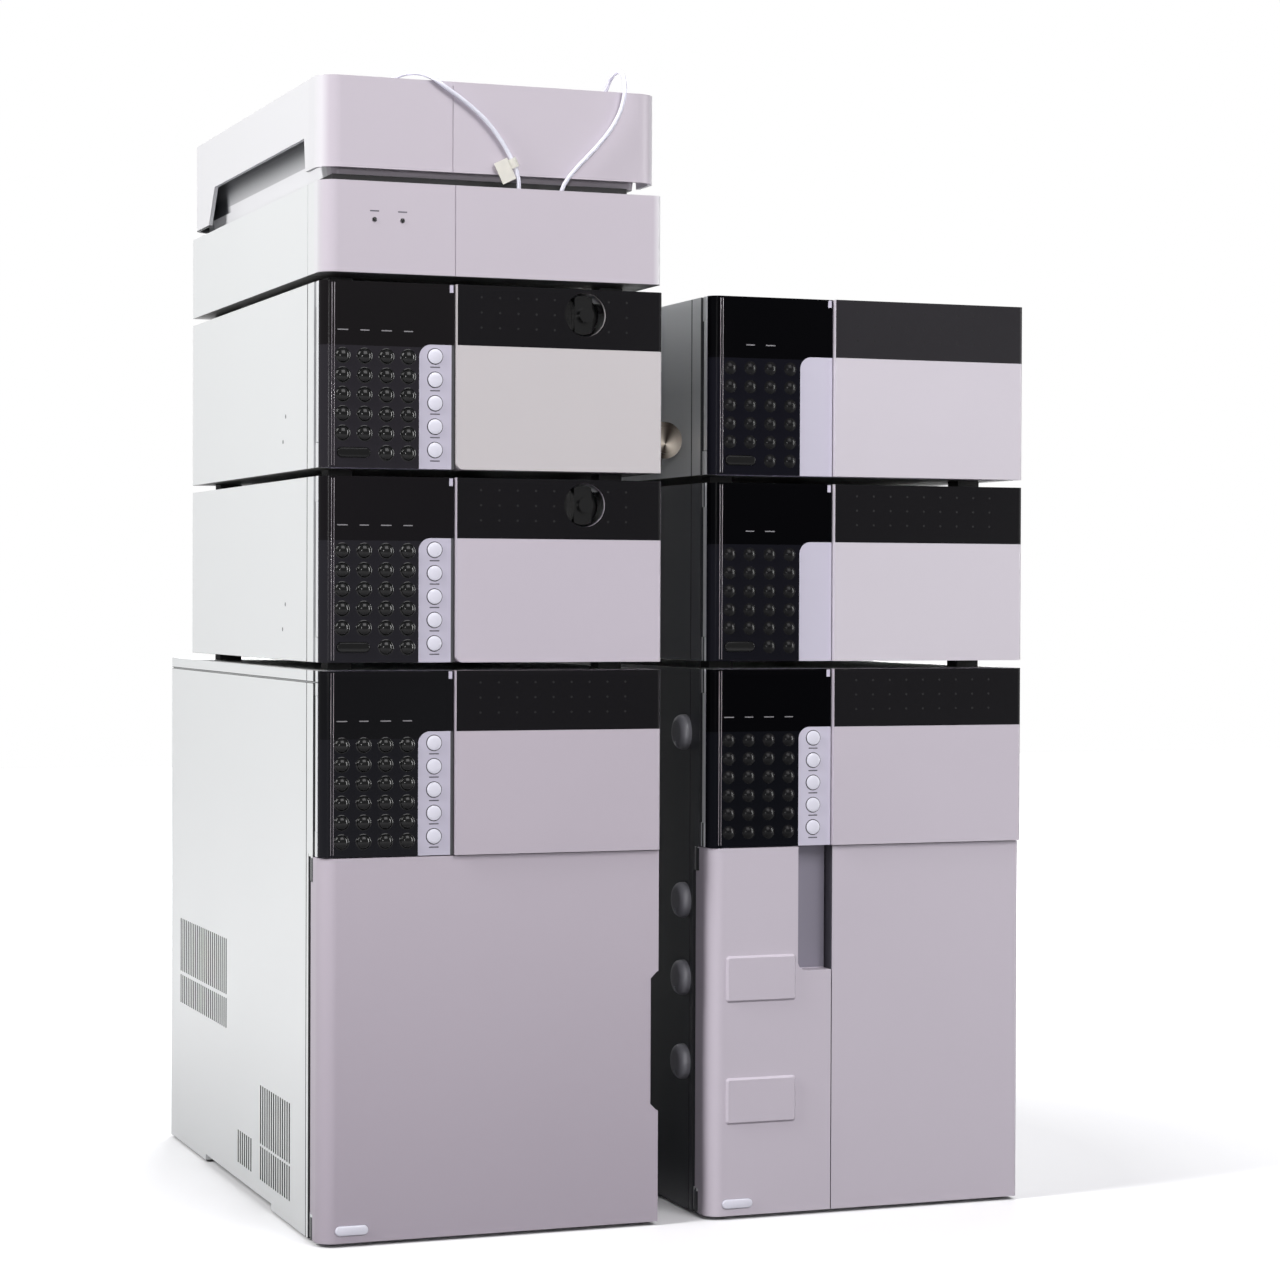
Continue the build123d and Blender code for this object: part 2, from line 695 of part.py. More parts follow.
def degasser():
    """The slim degasser: its case with four upright tube ports, and its snap-on front."""
    height = degasser_height - foot_height
    bezel = leaf_depth + leaf_to_case
    body = case_body(module_depth, height, 0, bezel)
    ledge_z = height - port_ledge_drop
    ledge_front = degasser_wall + port_clearance
    body += block(2 * rim, module_width - 2 * rim, ledge_front, bezel, ledge_z - rim, ledge_z)
    for x in port_x:
        nut = Pos(x, port_y, ledge_z + port_height / 2) * extrude(
            RegularPolygon(port_radius, 6), amount=port_height / 2, both=True)
        body += nut
    body -= rear_details(module_depth, 0, height)
    write("degasser_case", "left", degasser_z + foot_height, body)
    front = front_corner(module_width, 0, bezel, 0, height, degasser_corner)
    right_edge = front.edges().filter_by(Axis.Z).sort_by(lambda e: e.center().X - e.center().Y)[-1]
    front = fillet(right_edge, door_corner)
    front -= block(degasser_wall, module_width - degasser_wall, degasser_corner, bezel + 1,
                   degasser_wall, height - degasser_wall)
    front -= block(degasser_corner, module_width - degasser_corner, degasser_wall, bezel + 1,
                   degasser_wall, height + 1)
    front -= block(panel_width, panel_width + seam, -1, seam_groove, -1, height + 1)
    for x in lamp_x:
        front += rod(x, lamp_z, -lamp_rise, 1, lamp_radius)
    write("degasser_front", "left", degasser_z + foot_height, front)


def tapered_tub(inset, corner, z0, z1):
    """A basin-shaped solid that narrows towards its floor."""
    width = module_width - 2 * inset
    length = module_depth - tray_setback - 2 * inset
    rim_outline = Pos(module_width / 2, (module_depth + tray_setback) / 2, z1) * RectangleRounded(
        width, length, corner)
    return extrude(rim_outline, amount=z1 - z0, dir=(0, 0, -1), taper=tray_taper)


def tray():
    """The open tray that holds the solvent bottles: a skirt outside, a tapered basin inside."""
    z1 = tray_height - foot_height
    width = module_width
    length = module_depth - tray_setback
    centre = Pos(width / 2, (module_depth + tray_setback) / 2, 0)
    outer = extrude(centre * RectangleRounded(width, length, tray_corner), amount=z1)
    inner = extrude(
        centre * RectangleRounded(width - 2 * tray_wall, length - 2 * tray_wall, tray_corner - tray_wall),
        amount=z1 - tray_wall)
    basin = tapered_tub(tray_rim - tray_wall, tray_corner - tray_wall, 0, z1 - tray_wall)
    hollow = tapered_tub(tray_rim, tray_corner - tray_wall, tray_floor, z1 + 1)
    solid = outer - inner + (basin & inner) - hollow
    profile = [
        (handle_front - handle_slant / 3, -1), (handle_front, handle_height),
        (handle_rear, handle_height), (handle_rear + handle_slant * 1.6, -1),
    ]
    opening = make_face(Polyline(*profile, close=True))
    cut = extrude(Plane.YZ * opening, amount=width + 2)
    cut = Pos(-1, 0, 0) * cut
    cut -= block(tray_wall, width - tray_wall, 0, module_depth, -2, z1)
    solid -= cut
    relief = block(-1, width + 1, tray_setback - 1, handle_front, -1, tray_front_relief)
    solid -= relief - inner
    solid -= block(panel_width, panel_width + seam, 0, tray_setback + seam_groove, -1, z1 - tray_wall)
    write("reservoir_tray", "left", tray_z + foot_height, solid)


def feet():
    """Rubber feet under every module, as separate pads."""
    pads = None
    stands = [
        ("left", 0, tower_foot_height, sampler_depth), ("left", unit_z[0], foot_height, module_depth),
        ("left", unit_z[1], foot_height, module_depth), ("left", degasser_z, foot_height, module_depth),
        ("left", tray_z, foot_height, module_depth), ("right", 0, tower_foot_height, module_depth),
        ("right", unit_z[0], foot_height, module_depth), ("right", unit_z[1], foot_height, module_depth),
    ]
    for stack, z, height, depth in stands:
        for x in (foot_inset, module_width - foot_inset - foot_side):
            for y in (foot_front, depth - foot_inset - foot_side):
                pad = block(x, x + foot_side, y, y + foot_side, z, z + height)
                pad = Pos(places[stack], front_y, 0) * pad
                pads = pad if pads is None else pads + pad
    top = tray_z + foot_height
    plinth = block(plinth_inset, plinth_right, plinth_front, module_depth - plinth_inset, tray_z, top)
    for x in (foot_inset, module_width - foot_inset - foot_side):
        for y in (foot_front, module_depth - foot_inset - foot_side):
            plinth -= block(x - 1, x + foot_side + 1, y - 1, y + foot_side + 1, tray_z - 1, top + 1)
    pads += Pos(left_x, front_y, 0) * plinth
    pads.label = "rubber_feet"
    export_step(pads, "parts/rubber_feet.step")


def tube_path(points):
    """Straight runs joined by the largest tangent arcs that they have room for."""
    vectors = [Vector(*p) for p in points]
    radii = []
    for a, b, c in zip(vectors, vectors[1:], vectors[2:]):
        half_turn = radians((b - a).get_angle(c - b)) / 2
        radii.append(0.45 * min((b - a).length, (c - b).length) / tan(half_turn))
    print("tube radii", [round(r, 1) for r in radii])
    return FilletPolyline(*points, radius=radii)


def suction_tube(letter, points):
    """One tube, with the sintered filter on its far end."""
    path = tube_path(points)
    section = Plane(origin=path @ 0, z_dir=path % 0) * Circle(tube_diameter / 2)
    tube = sweep(section, path=path)
    expected = pi * (tube_diameter / 2) ** 2 * path.length
    print("tube", letter, "length", round(path.length, 1), "volume ratio", round(tube.volume / expected, 4))
    write(f"suction_tube_{letter}", "left", degasser_z, tube)
    end = Plane(origin=path @ 1, z_dir=path % 1)
    low = (Align.CENTER, Align.CENTER, Align.MIN)
    filter_solid = Cylinder(filter_neck_radius, filter_neck_length + 1, align=low)
    filter_solid += Pos(0, 0, filter_neck_length) * Cylinder(filter_radius, filter_length, align=low)
    write(f"suction_filter_{letter}", "left", degasser_z, end * filter_solid)


def tube_tag():
    """A ring round tube a with a small blank plate beside it."""
    upper = Vector(*tube_route_a[tag_run + 1])
    lower = Vector(*tube_route_a[tag_run])
    down = (lower - upper).normalized()
    across = down.cross(Vector(0, -1, 0)).normalized()
    frame = Plane(origin=(upper + lower) / 2, x_dir=across, z_dir=down)
    inner = tube_diameter / 2 + tag_clearance
    tag = Cylinder(tag_ring_radius, tag_ring_length)
    half = tag_thickness / 2
    plate_left = inner + 1.1
    tag += block(plate_left, plate_left + tag_width, -half, half, -tag_rise, tag_length - tag_rise)
    tag -= Cylinder(inner, tag_ring_length + 1)
    write("tube_tag", "left", degasser_z, frame * tag)


def mixer():
    """The small solvent mixer on a bracket at pump 1's right side."""
    z = mixer_z
    solid = rod(mixer_x, z, mixer_y, mixer_y + mixer_length, mixer_radius)
    solid += rod(mixer_x, z, mixer_y - 1.5, mixer_y, mixer_radius - 4)
    solid += post(mixer_x - 2, mixer_y + mixer_length / 2, z - mixer_radius - 6, z, 3)
    solid += block(module_width, mixer_x, mixer_y + mixer_length, mixer_y + mixer_length + 3, z - 10, z + 10)
    solid += block(module_width, module_width + 2, mixer_y + mixer_length, mixer_y + mixer_length + 20,
                   z - 10, z + 10)
    write("pump_1_mixer", "left", unit_z[1] + foot_height, solid)


def flow_cell():
    """The detector's flow cell on the rear wall of its compartment."""
    back = leaf_depth + leaf_to_case + compartment_depth
    cell = block(cell_x, cell_x + cell_side, back - cell_side, back, cell_z, cell_z + cell_side)
    middle_x = cell_x + cell_side / 2
    middle_z = cell_z + cell_side / 2
    cell += rod(middle_x, middle_z, back - cell_side - 14, back - cell_side, cell_side / 4)
    cell += post(middle_x, back - cell_side / 2, cell_z - 12, cell_z + cell_side + 12, 4)
    write("detector_flow_cell", "right", unit_z[1] + foot_height, cell)


pump(2, unit_z[0] + foot_height)
pump(1, unit_z[1] + foot_height)
unit("controller", "right", unit_z[0] + foot_height, False, recess_depth, False)
unit("detector", "right", unit_z[1] + foot_height, False, compartment_depth, False)
sampler()
oven()
degasser()
tray()
feet()
mixer()
flow_cell()
suction_tube("a", tube_route_a)
suction_tube("b", tube_route_b)
tube_tag()
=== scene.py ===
import bpy
import bmesh
from math import radians, pi, sin, cos
from mathutils import Matrix, Vector


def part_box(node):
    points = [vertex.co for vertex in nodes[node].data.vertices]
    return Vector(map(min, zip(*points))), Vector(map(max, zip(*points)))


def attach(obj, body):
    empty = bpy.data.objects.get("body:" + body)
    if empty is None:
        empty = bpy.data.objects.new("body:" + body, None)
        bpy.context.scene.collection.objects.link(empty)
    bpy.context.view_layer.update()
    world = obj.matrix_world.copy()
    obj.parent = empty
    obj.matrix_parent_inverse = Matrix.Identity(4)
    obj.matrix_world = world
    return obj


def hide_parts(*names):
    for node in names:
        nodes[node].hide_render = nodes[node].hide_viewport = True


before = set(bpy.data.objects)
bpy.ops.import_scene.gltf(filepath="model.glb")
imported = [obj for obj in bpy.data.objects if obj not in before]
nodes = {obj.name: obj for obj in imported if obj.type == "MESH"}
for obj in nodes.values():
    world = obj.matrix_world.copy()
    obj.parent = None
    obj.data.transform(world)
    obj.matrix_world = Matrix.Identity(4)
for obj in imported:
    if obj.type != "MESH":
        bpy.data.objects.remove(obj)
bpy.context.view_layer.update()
print("frame loaded")

# everything is in metres, and mm turns a size in millimetres into them
mm = 0.001
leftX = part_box("reservoir_tray")[0].x
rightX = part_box("oven_case")[1].x - (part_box("sampler_case")[1].x - leftX)
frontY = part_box("pump_1_keypad_film")[0].y
moduleX = {
    "pump_1": leftX, "pump_2": leftX, "sampler": leftX,
    "detector": rightX, "controller": rightX, "oven": rightX,
}


def screenColour(red, green, blue):
    # 0 to 255 as seen on a screen, to the values that a shader takes
    def linear(value):
        value = value / 255
        return value / 12.92 if value <= 0.04045 else ((value + 0.055) / 1.055) ** 2.4
    return (linear(red), linear(green), linear(blue), 1.0)


def panelPlace(name, x, z, y=0.0):
    # a point on a module's front, in mm from the lower left corner of its display panel
    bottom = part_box(f"{name}_keypad_film")[0].z
    return Vector((moduleX[name] + x * mm, frontY + y * mm, bottom + z * mm))


# the camera stands a little left of the front, at the height of the pumps
camera = {
    "place": (-0.8522, -2.4190, 0.4690), "azimuth": 20.61, "pitch": -0.79, "roll": 0.22,
    "focal": 3122, "imageWidth": 1280, "sensor": 36.0,
}


def makeCamera():
    data = bpy.data.cameras.new("camera")
    data.sensor_width = camera["sensor"]
    data.lens = camera["focal"] / camera["imageWidth"] * camera["sensor"]
    thing = bpy.data.objects.new("camera", data)
    bpy.context.collection.objects.link(thing)
    thing.location = camera["place"]
    thing.rotation_euler = (
        radians(90 + camera["pitch"]), radians(-camera["roll"]), radians(-camera["azimuth"]))
    bpy.context.scene.camera = thing
    bpy.context.scene.view_settings.view_transform = "Standard"


makeCamera()
print("camera")


def newGroup(name, inputs, outputs):
    group = bpy.data.node_groups.new(name, "ShaderNodeTree")
    for label, kind, value in inputs:
        socket = group.interface.new_socket(label, in_out="INPUT", socket_type=f"NodeSocket{kind}")
        socket.default_value = value
    for label, kind in outputs:
        group.interface.new_socket(label, in_out="OUTPUT", socket_type=f"NodeSocket{kind}")
    return group, group.nodes.new("NodeGroupInput"), group.nodes.new("NodeGroupOutput")


def nodeMath(tree, operation, first, second=None, third=None):
    # one Math node; each value is a number or a socket
    node = tree.nodes.new("ShaderNodeMath")
    node.operation = operation
    for socket, value in zip(node.inputs, (first, second, third)):
        if value is None:
            continue
        if isinstance(value, (int, float)):
            socket.default_value = value
        else:
            tree.links.new(value, socket)
    return node.outputs[0]


def kept01(tree, value):
    # a value held between 0 and 1
    return nodeMath(tree, "MINIMUM", nodeMath(tree, "MAXIMUM", value, 0.0), 1.0)


def objectPoint(tree):
    return tree.nodes.new("ShaderNodeTexCoord").outputs["Object"]


def makeMouldGrain():
    # sprayed or moulded grain: a height, and slow changes of colour and roughness
    group, given, result = newGroup(
        "mouldGrain",
        [("Colour", "Color", (1, 1, 1, 1)), ("Roughness", "Float", 0.45), ("Grain Scale", "Float", 1400.0),
         ("Mottle", "Float", 0.05), ("Mottle Scale", "Float", 7.0)],
        [("Colour", "Color"), ("Roughness", "Float"), ("Height", "Float")])
    point = objectPoint(group)
    grain = group.nodes.new("ShaderNodeTexNoise")
    grain.inputs["Detail"].default_value = 2.0
    group.links.new(point, grain.inputs["Vector"])
    group.links.new(given.outputs["Grain Scale"], grain.inputs["Scale"])
    slow = group.nodes.new("ShaderNodeTexNoise")
    slow.inputs["Detail"].default_value = 4.0
    group.links.new(point, slow.inputs["Vector"])
    group.links.new(given.outputs["Mottle Scale"], slow.inputs["Scale"])
    level = nodeMath(group, "SUBTRACT", slow.outputs["Fac"], 0.5)
    gain = nodeMath(group, "MULTIPLY_ADD", level, given.outputs["Mottle"], 1.0)
    tint = group.nodes.new("ShaderNodeVectorMath")
    tint.operation = "SCALE"
    group.links.new(given.outputs["Colour"], tint.inputs[0])
    group.links.new(gain, tint.inputs["Scale"])
    group.links.new(tint.outputs["Vector"], result.inputs["Colour"])
    group.links.new(nodeMath(group, "MULTIPLY_ADD", level, 0.15, given.outputs["Roughness"]),
                    result.inputs["Roughness"])
    group.links.new(grain.outputs["Fac"], result.inputs["Height"])
    return group


def makeBoxMask():
    # 1 inside a box and 0 outside it, with a soft edge
    group, given, result = newGroup(
        "boxMask",
        [("Low", "Vector", (0, 0, 0)), ("High", "Vector", (1, 1, 1)), ("Edge", "Vector", (0.0004,) * 3)],
        [("Mask", "Float")])
    parts = {}
    for label, source in (("point", objectPoint(group)), ("low", given.outputs["Low"]),
                          ("high", given.outputs["High"]), ("edge", given.outputs["Edge"])):
        split = group.nodes.new("ShaderNodeSeparateXYZ")
        group.links.new(source, split.inputs[0])
        parts[label] = split.outputs
    mask = None
    for axis in range(3):
        above = nodeMath(group, "SUBTRACT", parts["point"][axis], parts["low"][axis])
        below = nodeMath(group, "SUBTRACT", parts["high"][axis], parts["point"][axis])
        inside = nodeMath(group, "DIVIDE", nodeMath(group, "MINIMUM", above, below), parts["edge"][axis])
        inside = kept01(group, inside)
        mask = inside if mask is None else nodeMath(group, "MULTIPLY", mask, inside)
    group.links.new(mask, result.inputs["Mask"])
    return group


mouldGrain = makeMouldGrain()
boxMask = makeBoxMask()


def finish(name, colour, roughness=0.45, grain=1400, bump=0.1, mottle=0.05, mottleScale=7.0,
           metallic=0.0, coat=0.0, clear=0.0, depth=0.0002, gloss=0.5):
    # one material on the shared grain; clear is the share of light that passes through
    material = bpy.data.materials.new(name)
    material.use_nodes = True
    tree = material.node_tree
    shader = tree.nodes["Principled BSDF"]
    shader.inputs["Metallic"].default_value = metallic
    shader.inputs["Coat Weight"].default_value = coat
    shader.inputs["Coat Roughness"].default_value = 0.04
    shader.inputs["Specular IOR Level"].default_value = gloss
    shader.inputs["Transmission Weight"].default_value = clear
    shader.inputs["IOR"].default_value = 1.2 if clear else 1.5
    surface = tree.nodes.new("ShaderNodeGroup")
    surface.node_tree = mouldGrain
    surface.inputs["Colour"].default_value = colour
    surface.inputs["Roughness"].default_value = roughness
    surface.inputs["Grain Scale"].default_value = grain
    surface.inputs["Mottle"].default_value = mottle
    surface.inputs["Mottle Scale"].default_value = mottleScale
    tree.links.new(surface.outputs["Colour"], shader.inputs["Base Color"])
    tree.links.new(surface.outputs["Roughness"], shader.inputs["Roughness"])
    raised = tree.nodes.new("ShaderNodeBump")
    raised.inputs["Strength"].default_value = bump
    raised.inputs["Distance"].default_value = depth
    tree.links.new(surface.outputs["Height"], raised.inputs["Height"])
    tree.links.new(raised.outputs["Normal"], shader.inputs["Normal"])
    return material


def blendTones(tree, mask, tone, other):
    mix = tree.nodes.new("ShaderNodeMix")
    mix.data_type = "RGBA"
    tree.links.new(mask, mix.inputs["Factor"])
    tree.links.new(tone, mix.inputs["A"])
    mix.inputs["B"].default_value = other
    return mix.outputs["Result"]


def toneInside(material, low, high, colour, edge=0.0004):
    # another colour inside a box, such as the space behind a vent; edge is one width or one for each axis
    tree = material.node_tree
    shader = tree.nodes["Principled BSDF"]
    tone = shader.inputs["Base Color"].links[0].from_socket
    mask = tree.nodes.new("ShaderNodeGroup")
    mask.node_tree = boxMask
    mask.inputs["Low"].default_value = low
    mask.inputs["High"].default_value = high
    mask.inputs["Edge"].default_value = edge if isinstance(edge, tuple) else (edge,) * 3
    tree.links.new(blendTones(tree, mask.outputs["Mask"], tone, colour), shader.inputs["Base Color"])


sc = screenColour
finishes = {
    "casePaint": dict(colour=sc(224, 226, 227), roughness=0.42, grain=1500, bump=0.22, mottle=0.03),
    "panelPlastic": dict(colour=sc(191, 183, 194), roughness=0.5, grain=2200, bump=0.2, mottle=0.06),
    "trayPlastic": dict(colour=sc(190, 182, 192), roughness=0.5, grain=2200, bump=0.2, mottle=0.06),
    "keyStrip": dict(colour=sc(188, 184, 200), roughness=0.4, grain=2200, bump=0.12, mottle=0.04),
    # the right stack's strip is the key strip made lighter, where more light falls: painted light
    "rightStackLitStrip": dict(colour=sc(196, 192, 208), roughness=0.4, grain=2200, bump=0.12, mottle=0.04),
    "bandFilm": dict(colour=sc(12, 11, 14), roughness=0.42, grain=2600, bump=0.15, mottle=0.2, gloss=0.05),
    "greyBandFilm": dict(colour=sc(30, 28, 32), roughness=0.42, grain=2600, bump=0.15, mottle=0.2,
                         gloss=0.1),
    # the sampler's doors: the door plastic darker, painted shade; the upper right doors: lighter, painted
    # light
    "samplerShadedPlastic": dict(colour=sc(184, 175, 186), roughness=0.5, grain=2200, bump=0.2, mottle=0.07),
    "upperLitPlastic": dict(colour=sc(203, 197, 206), roughness=0.5, grain=2200, bump=0.2, mottle=0.06),
    "neutralPlastic": dict(colour=sc(194, 189, 191), roughness=0.5, grain=2200, bump=0.2, mottle=0.07),
    "printedMark": dict(colour=sc(74, 72, 82), roughness=0.5, grain=1500, bump=0.02, mottle=0.1),
    "paleMark": dict(colour=sc(118, 116, 120), roughness=0.5, grain=1500, bump=0.02, mottle=0.1),
    "screwSteel": dict(colour=sc(96, 97, 100), roughness=0.35, grain=900, bump=0.1, mottle=0.1,
                       metallic=1.0),
    "mixerSteel": dict(colour=sc(172, 163, 152), roughness=0.3, grain=500, bump=0.12, mottle=0.2,
                       metallic=1.0),
    "blackKey": dict(colour=sc(5, 5, 6), roughness=0.12, grain=1200, bump=0.03, mottle=0.2, gloss=0.17),
    "dimKey": dict(colour=sc(7, 7, 9), roughness=0.25, grain=1200, bump=0.03, mottle=0.2, gloss=0.09),
    "lightKey": dict(colour=sc(222, 221, 233), roughness=0.34, grain=1500, bump=0.08, mottle=0.03),
    "keyRing": dict(colour=sc(36, 34, 42), roughness=0.5, grain=1500, bump=0.05, mottle=0.1),
    # the ridges' light grey is a painted reflection of the bright lines along them
    "filmRidge": dict(colour=sc(96, 88, 96), roughness=0.22, grain=900, bump=0.03, mottle=0.2, coat=0.5),
    "knobPlastic": dict(colour=sc(9, 9, 10), roughness=0.2, grain=1800, bump=0.06, mottle=0.2, gloss=0.2),
    "headSteel": dict(colour=sc(188, 188, 192), roughness=0.28, grain=700, bump=0.1, mottle=0.08,
                      metallic=1.0),
    "machinedAluminium": dict(colour=sc(200, 202, 206), roughness=0.36, grain=600, bump=0.15, mottle=0.08,
                              metallic=1.0),
    "footRubber": dict(colour=sc(24, 24, 25), roughness=0.78, grain=1600, bump=0.5, mottle=0.2),
    "tubePlastic": dict(colour=sc(240, 240, 251), roughness=0.25, grain=900, bump=0.05, mottle=0.04,
                        clear=0.16),
    "sinteredSteel": dict(colour=sc(150, 149, 146), roughness=0.6, grain=3200, bump=0.9, mottle=0.25,
                          metallic=1.0),
    "tagPlastic": dict(colour=sc(238, 236, 228), roughness=0.36, grain=900, bump=0.06, mottle=0.05,
                       clear=0.25),
    "clipPlastic": dict(colour=sc(112, 112, 118), roughness=0.4, grain=1600, bump=0.1, mottle=0.06),
    "rackPlastic": dict(colour=sc(66, 70, 78), roughness=0.5, grain=1800, bump=0.3, mottle=0.1),
    "socketPlastic": dict(colour=sc(20, 20, 22), roughness=0.42, grain=1600, bump=0.2, mottle=0.1),
    "dimple": dict(colour=sc(8, 8, 10), roughness=0.55, grain=1600, bump=0.05, mottle=0.1, gloss=0.15),
    "lampLens": dict(colour=sc(8, 8, 10), roughness=0.12, grain=600, bump=0.02, mottle=0.2, coat=0.1,
                     gloss=0.2),
}
materials = {name: finish(name, **values) for name, values in finishes.items()}

# the mixer's front was turned on a lathe; a painted sheen lies in wedges round its middle
mixer = {"dark": sc(38, 33, 30), "radius": 14.0, "wedges": 2.0, "phase": 0.5}


def paintedTurnedSheen(material, x, z):
    tree = material.node_tree
    shader = tree.nodes["Principled BSDF"]
    tone = shader.inputs["Base Color"].links[0].from_socket
    split = tree.nodes.new("ShaderNodeSeparateXYZ")
    tree.links.new(objectPoint(tree), split.inputs[0])
    across = nodeMath(tree, "SUBTRACT", split.outputs["X"], x)
    up = nodeMath(tree, "SUBTRACT", split.outputs["Z"], z)
    turn = nodeMath(tree, "ARCTAN2", up, across)
    turn = nodeMath(tree, "MULTIPLY_ADD", turn, mixer["wedges"], mixer["phase"])
    mask = nodeMath(tree, "MULTIPLY_ADD", nodeMath(tree, "COSINE", turn), -0.5, 0.5)
    tree.links.new(blendTones(tree, mask, tone, mixer["dark"]), shader.inputs["Base Color"])


low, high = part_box("pump_1_mixer")
paintedTurnedSheen(materials["mixerSteel"], high.x - mixer["radius"] * mm, (low.z + high.z) / 2)

# the film's upper part is the display window, and the part with the keys is duller, and lighter by a
# painted reflection
filmLook = {"roughness": 0.2, "grain": 500, "bump": 0.02, "mottle": 0.3}
filmGloss = {leftX: 0.06, rightX: 0.015}
keyZoneBox = {"low": (-1, -1, -9), "right": 101, "back": 30, "edge": 0.0003}
# window colour, key zone colour and the height where they meet; the tones that change from module to module
# are painted light and shade
filmLightShadeTones = {
    "pump_1": (sc(20, 18, 20), sc(40, 38, 43), 88), "pump_2": (sc(17, 15, 18), sc(34, 33, 38), 88),
    "sampler": (sc(11, 11, 14), sc(21, 21, 26), 85), "detector": (sc(5, 5, 7), sc(21, 21, 28), 88),
    "controller": (sc(4, 4, 6), sc(22, 22, 28), 88), "oven": (sc(3, 3, 5), sc(14, 15, 20), 87),
}
for name in moduleX:
    window, keyZone, top = filmLightShadeTones[name]
    film = finish(f"{name}Film", window, gloss=filmGloss[moduleX[name]], **filmLook)
    toneInside(film, panelPlace(name, *keyZoneBox["low"]),
               panelPlace(name, keyZoneBox["right"], top, keyZoneBox["back"]), keyZone, keyZoneBox["edge"])
    materials[f"{name}Film"] = film

# each case's paint is darker where little light gets in: the bezel's face, the fine joints, the underside
# and the walls between the stacks; sizes in mm from the case's front lower left corner
gaps = {
    "shade": sc(40, 41, 44), "under": sc(30, 29, 27), "line": sc(36, 36, 39),
    "bezelTones": {"pump_1": sc(176, 177, 180), "pump_2": sc(176, 177, 180)},
    "bezel": (19.6, 20.3), "lowerBezel": (31.6, 32.5), "lowerBezelTop": 280,
    "joint": (37.6, 39.6), "lid": (403.6, 405.4), "lidFront": 20, "lineDeep": 1.02, "underTop": 0.25,
}
# the walls between the stacks: how deep the tone goes, where it starts, and its colour for each module
gapWalls = {
    "deep": 0.4, "front": 5, "foot": -9, "left": sc(110, 112, 115), "controller": sc(73, 75, 79),
    "oven": sc(46, 48, 52), "detector": sc(99, 104, 106), "fadeTop": 136, "fade": 0.16,
}
fine = 0.0001
# a tone's box ends past the case where it takes in all of it
past = {"near": -1, "width": 261, "depth": 501, "height": 500}
caseWidth = past["width"] + past["near"]


def shaded(paint, name, low, high, tone=None, edge=fine):
    corner = Vector((moduleX[name], frontY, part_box(f"{name}_case")[0].z))
    toneInside(materials[paint], corner + Vector(low) * mm, corner + Vector(high) * mm,
               tone or gaps["shade"], edge)


def shadeWalls(paint, name):
    low = (past["near"], gapWalls["front"], gapWalls["foot"])
    if name == "detector":
        shaded(paint, name, low, (gapWalls["deep"], past["depth"], gapWalls["fadeTop"]), gapWalls[name],
               (fine, fine, gapWalls["fade"]))
    elif moduleX[name] == rightX:
        shaded(paint, name, low, (gapWalls["deep"], past["depth"], past["height"]), gapWalls[name])
    else:
        shaded(paint, name, (caseWidth - gapWalls["deep"], *low[1:]),
               (past["width"], past["depth"], past["height"]), gapWalls["left"])


def shadeCase(name):
    paint = f"{name}Paint"
    near, width = past["near"], past["width"]
    materials[paint] = finish(paint, **finishes["casePaint"])
    shadeWalls(paint, name)
    start, end = gaps["bezel"]
    shaded(paint, name, (near, start, near), (width, end, past["height"]), gaps["bezelTones"].get(name))
    if name in ("sampler", "oven"):
        start, end = gaps["lowerBezel"]
        shaded(paint, name, (near, start, near), (width, end, gaps["lowerBezelTop"]))
    for low, high in ((near, gaps["lineDeep"]), (caseWidth - gaps["lineDeep"], width)):
        start, end = gaps["joint"]
        shaded(paint, name, (low, start, near), (high, end, past["height"]), gaps["line"])
        if name == "sampler":
            bottom, top = gaps["lid"]
            shaded(paint, name, (low, gaps["lidFront"], bottom), (high, past["depth"], top), gaps["line"])
    shaded(paint, name, (near,) * 3, (width, past["depth"], gaps["underTop"]), gaps["under"])


for name in moduleX:
    shadeCase(name)

# the sampler's side gets less light toward the floor
sideFade = {
    "low": (-1, 40, -300), "high": (0.6, 501, 150), "tone": sc(196, 197, 199), "edge": (fine, fine, 0.3),
}
shaded("samplerPaint", "sampler", sideFade["low"], sideFade["high"], sideFade["tone"], sideFade["edge"])

# slots in the sampler's side, which look into its unlit pocket
vents = {"low": (0.04, 83, 17), "high": (12.5, 466, 195), "shade": sc(17, 17, 19)}
ventCorner = Vector((leftX, frontY, 0))
toneInside(materials["samplerPaint"], ventCorner + Vector(vents["low"]) * mm,
           ventCorner + Vector(vents["high"]) * mm, vents["shade"], fine)

# the keypad panels' hinge barrels are the case's colour with a dark line at each end, and a strip of
# painted shade stands beside the light keys of the left stack, where the gap to the door lies in shadow
barrels = {"low": (-1, -1, 7.4), "high": (10.3, 135, 31), "ends": (17.8, 116.2), "half": 0.35, "front": -6,
           "tone": sc(222, 224, 225)}
paintedShadeStrip = {"low": (97.3, -1, -6), "high": (99.9, 91, 12), "edge": 0.0002}


def panelTone(material, name, low, high, tone, edge=0.0004):
    toneInside(material, panelPlace(name, *low), panelPlace(name, *high), tone, edge)


def tonePanel(name):
    strip = "keyStrip" if moduleX[name] == leftX else "rightStackLitStrip"
    panel = finish(f"{name}Panel", **finishes[strip])
    panelTone(panel, name, barrels["low"], barrels["high"], barrels["tone"])
    left, right, back = barrels["low"][0], barrels["high"][0], barrels["high"][2]
    for z in barrels["ends"]:
        panelTone(panel, name, (left, z - barrels["half"], barrels["front"]),
                  (right, z + barrels["half"], back), gaps["line"], fine)
    if moduleX[name] == leftX:
        panelTone(panel, name, paintedShadeStrip["low"], paintedShadeStrip["high"], gaps["shade"], paintedShadeStrip["edge"])
    materials[f"{name}Panel"] = panel


for name in moduleX:
    tonePanel(name)

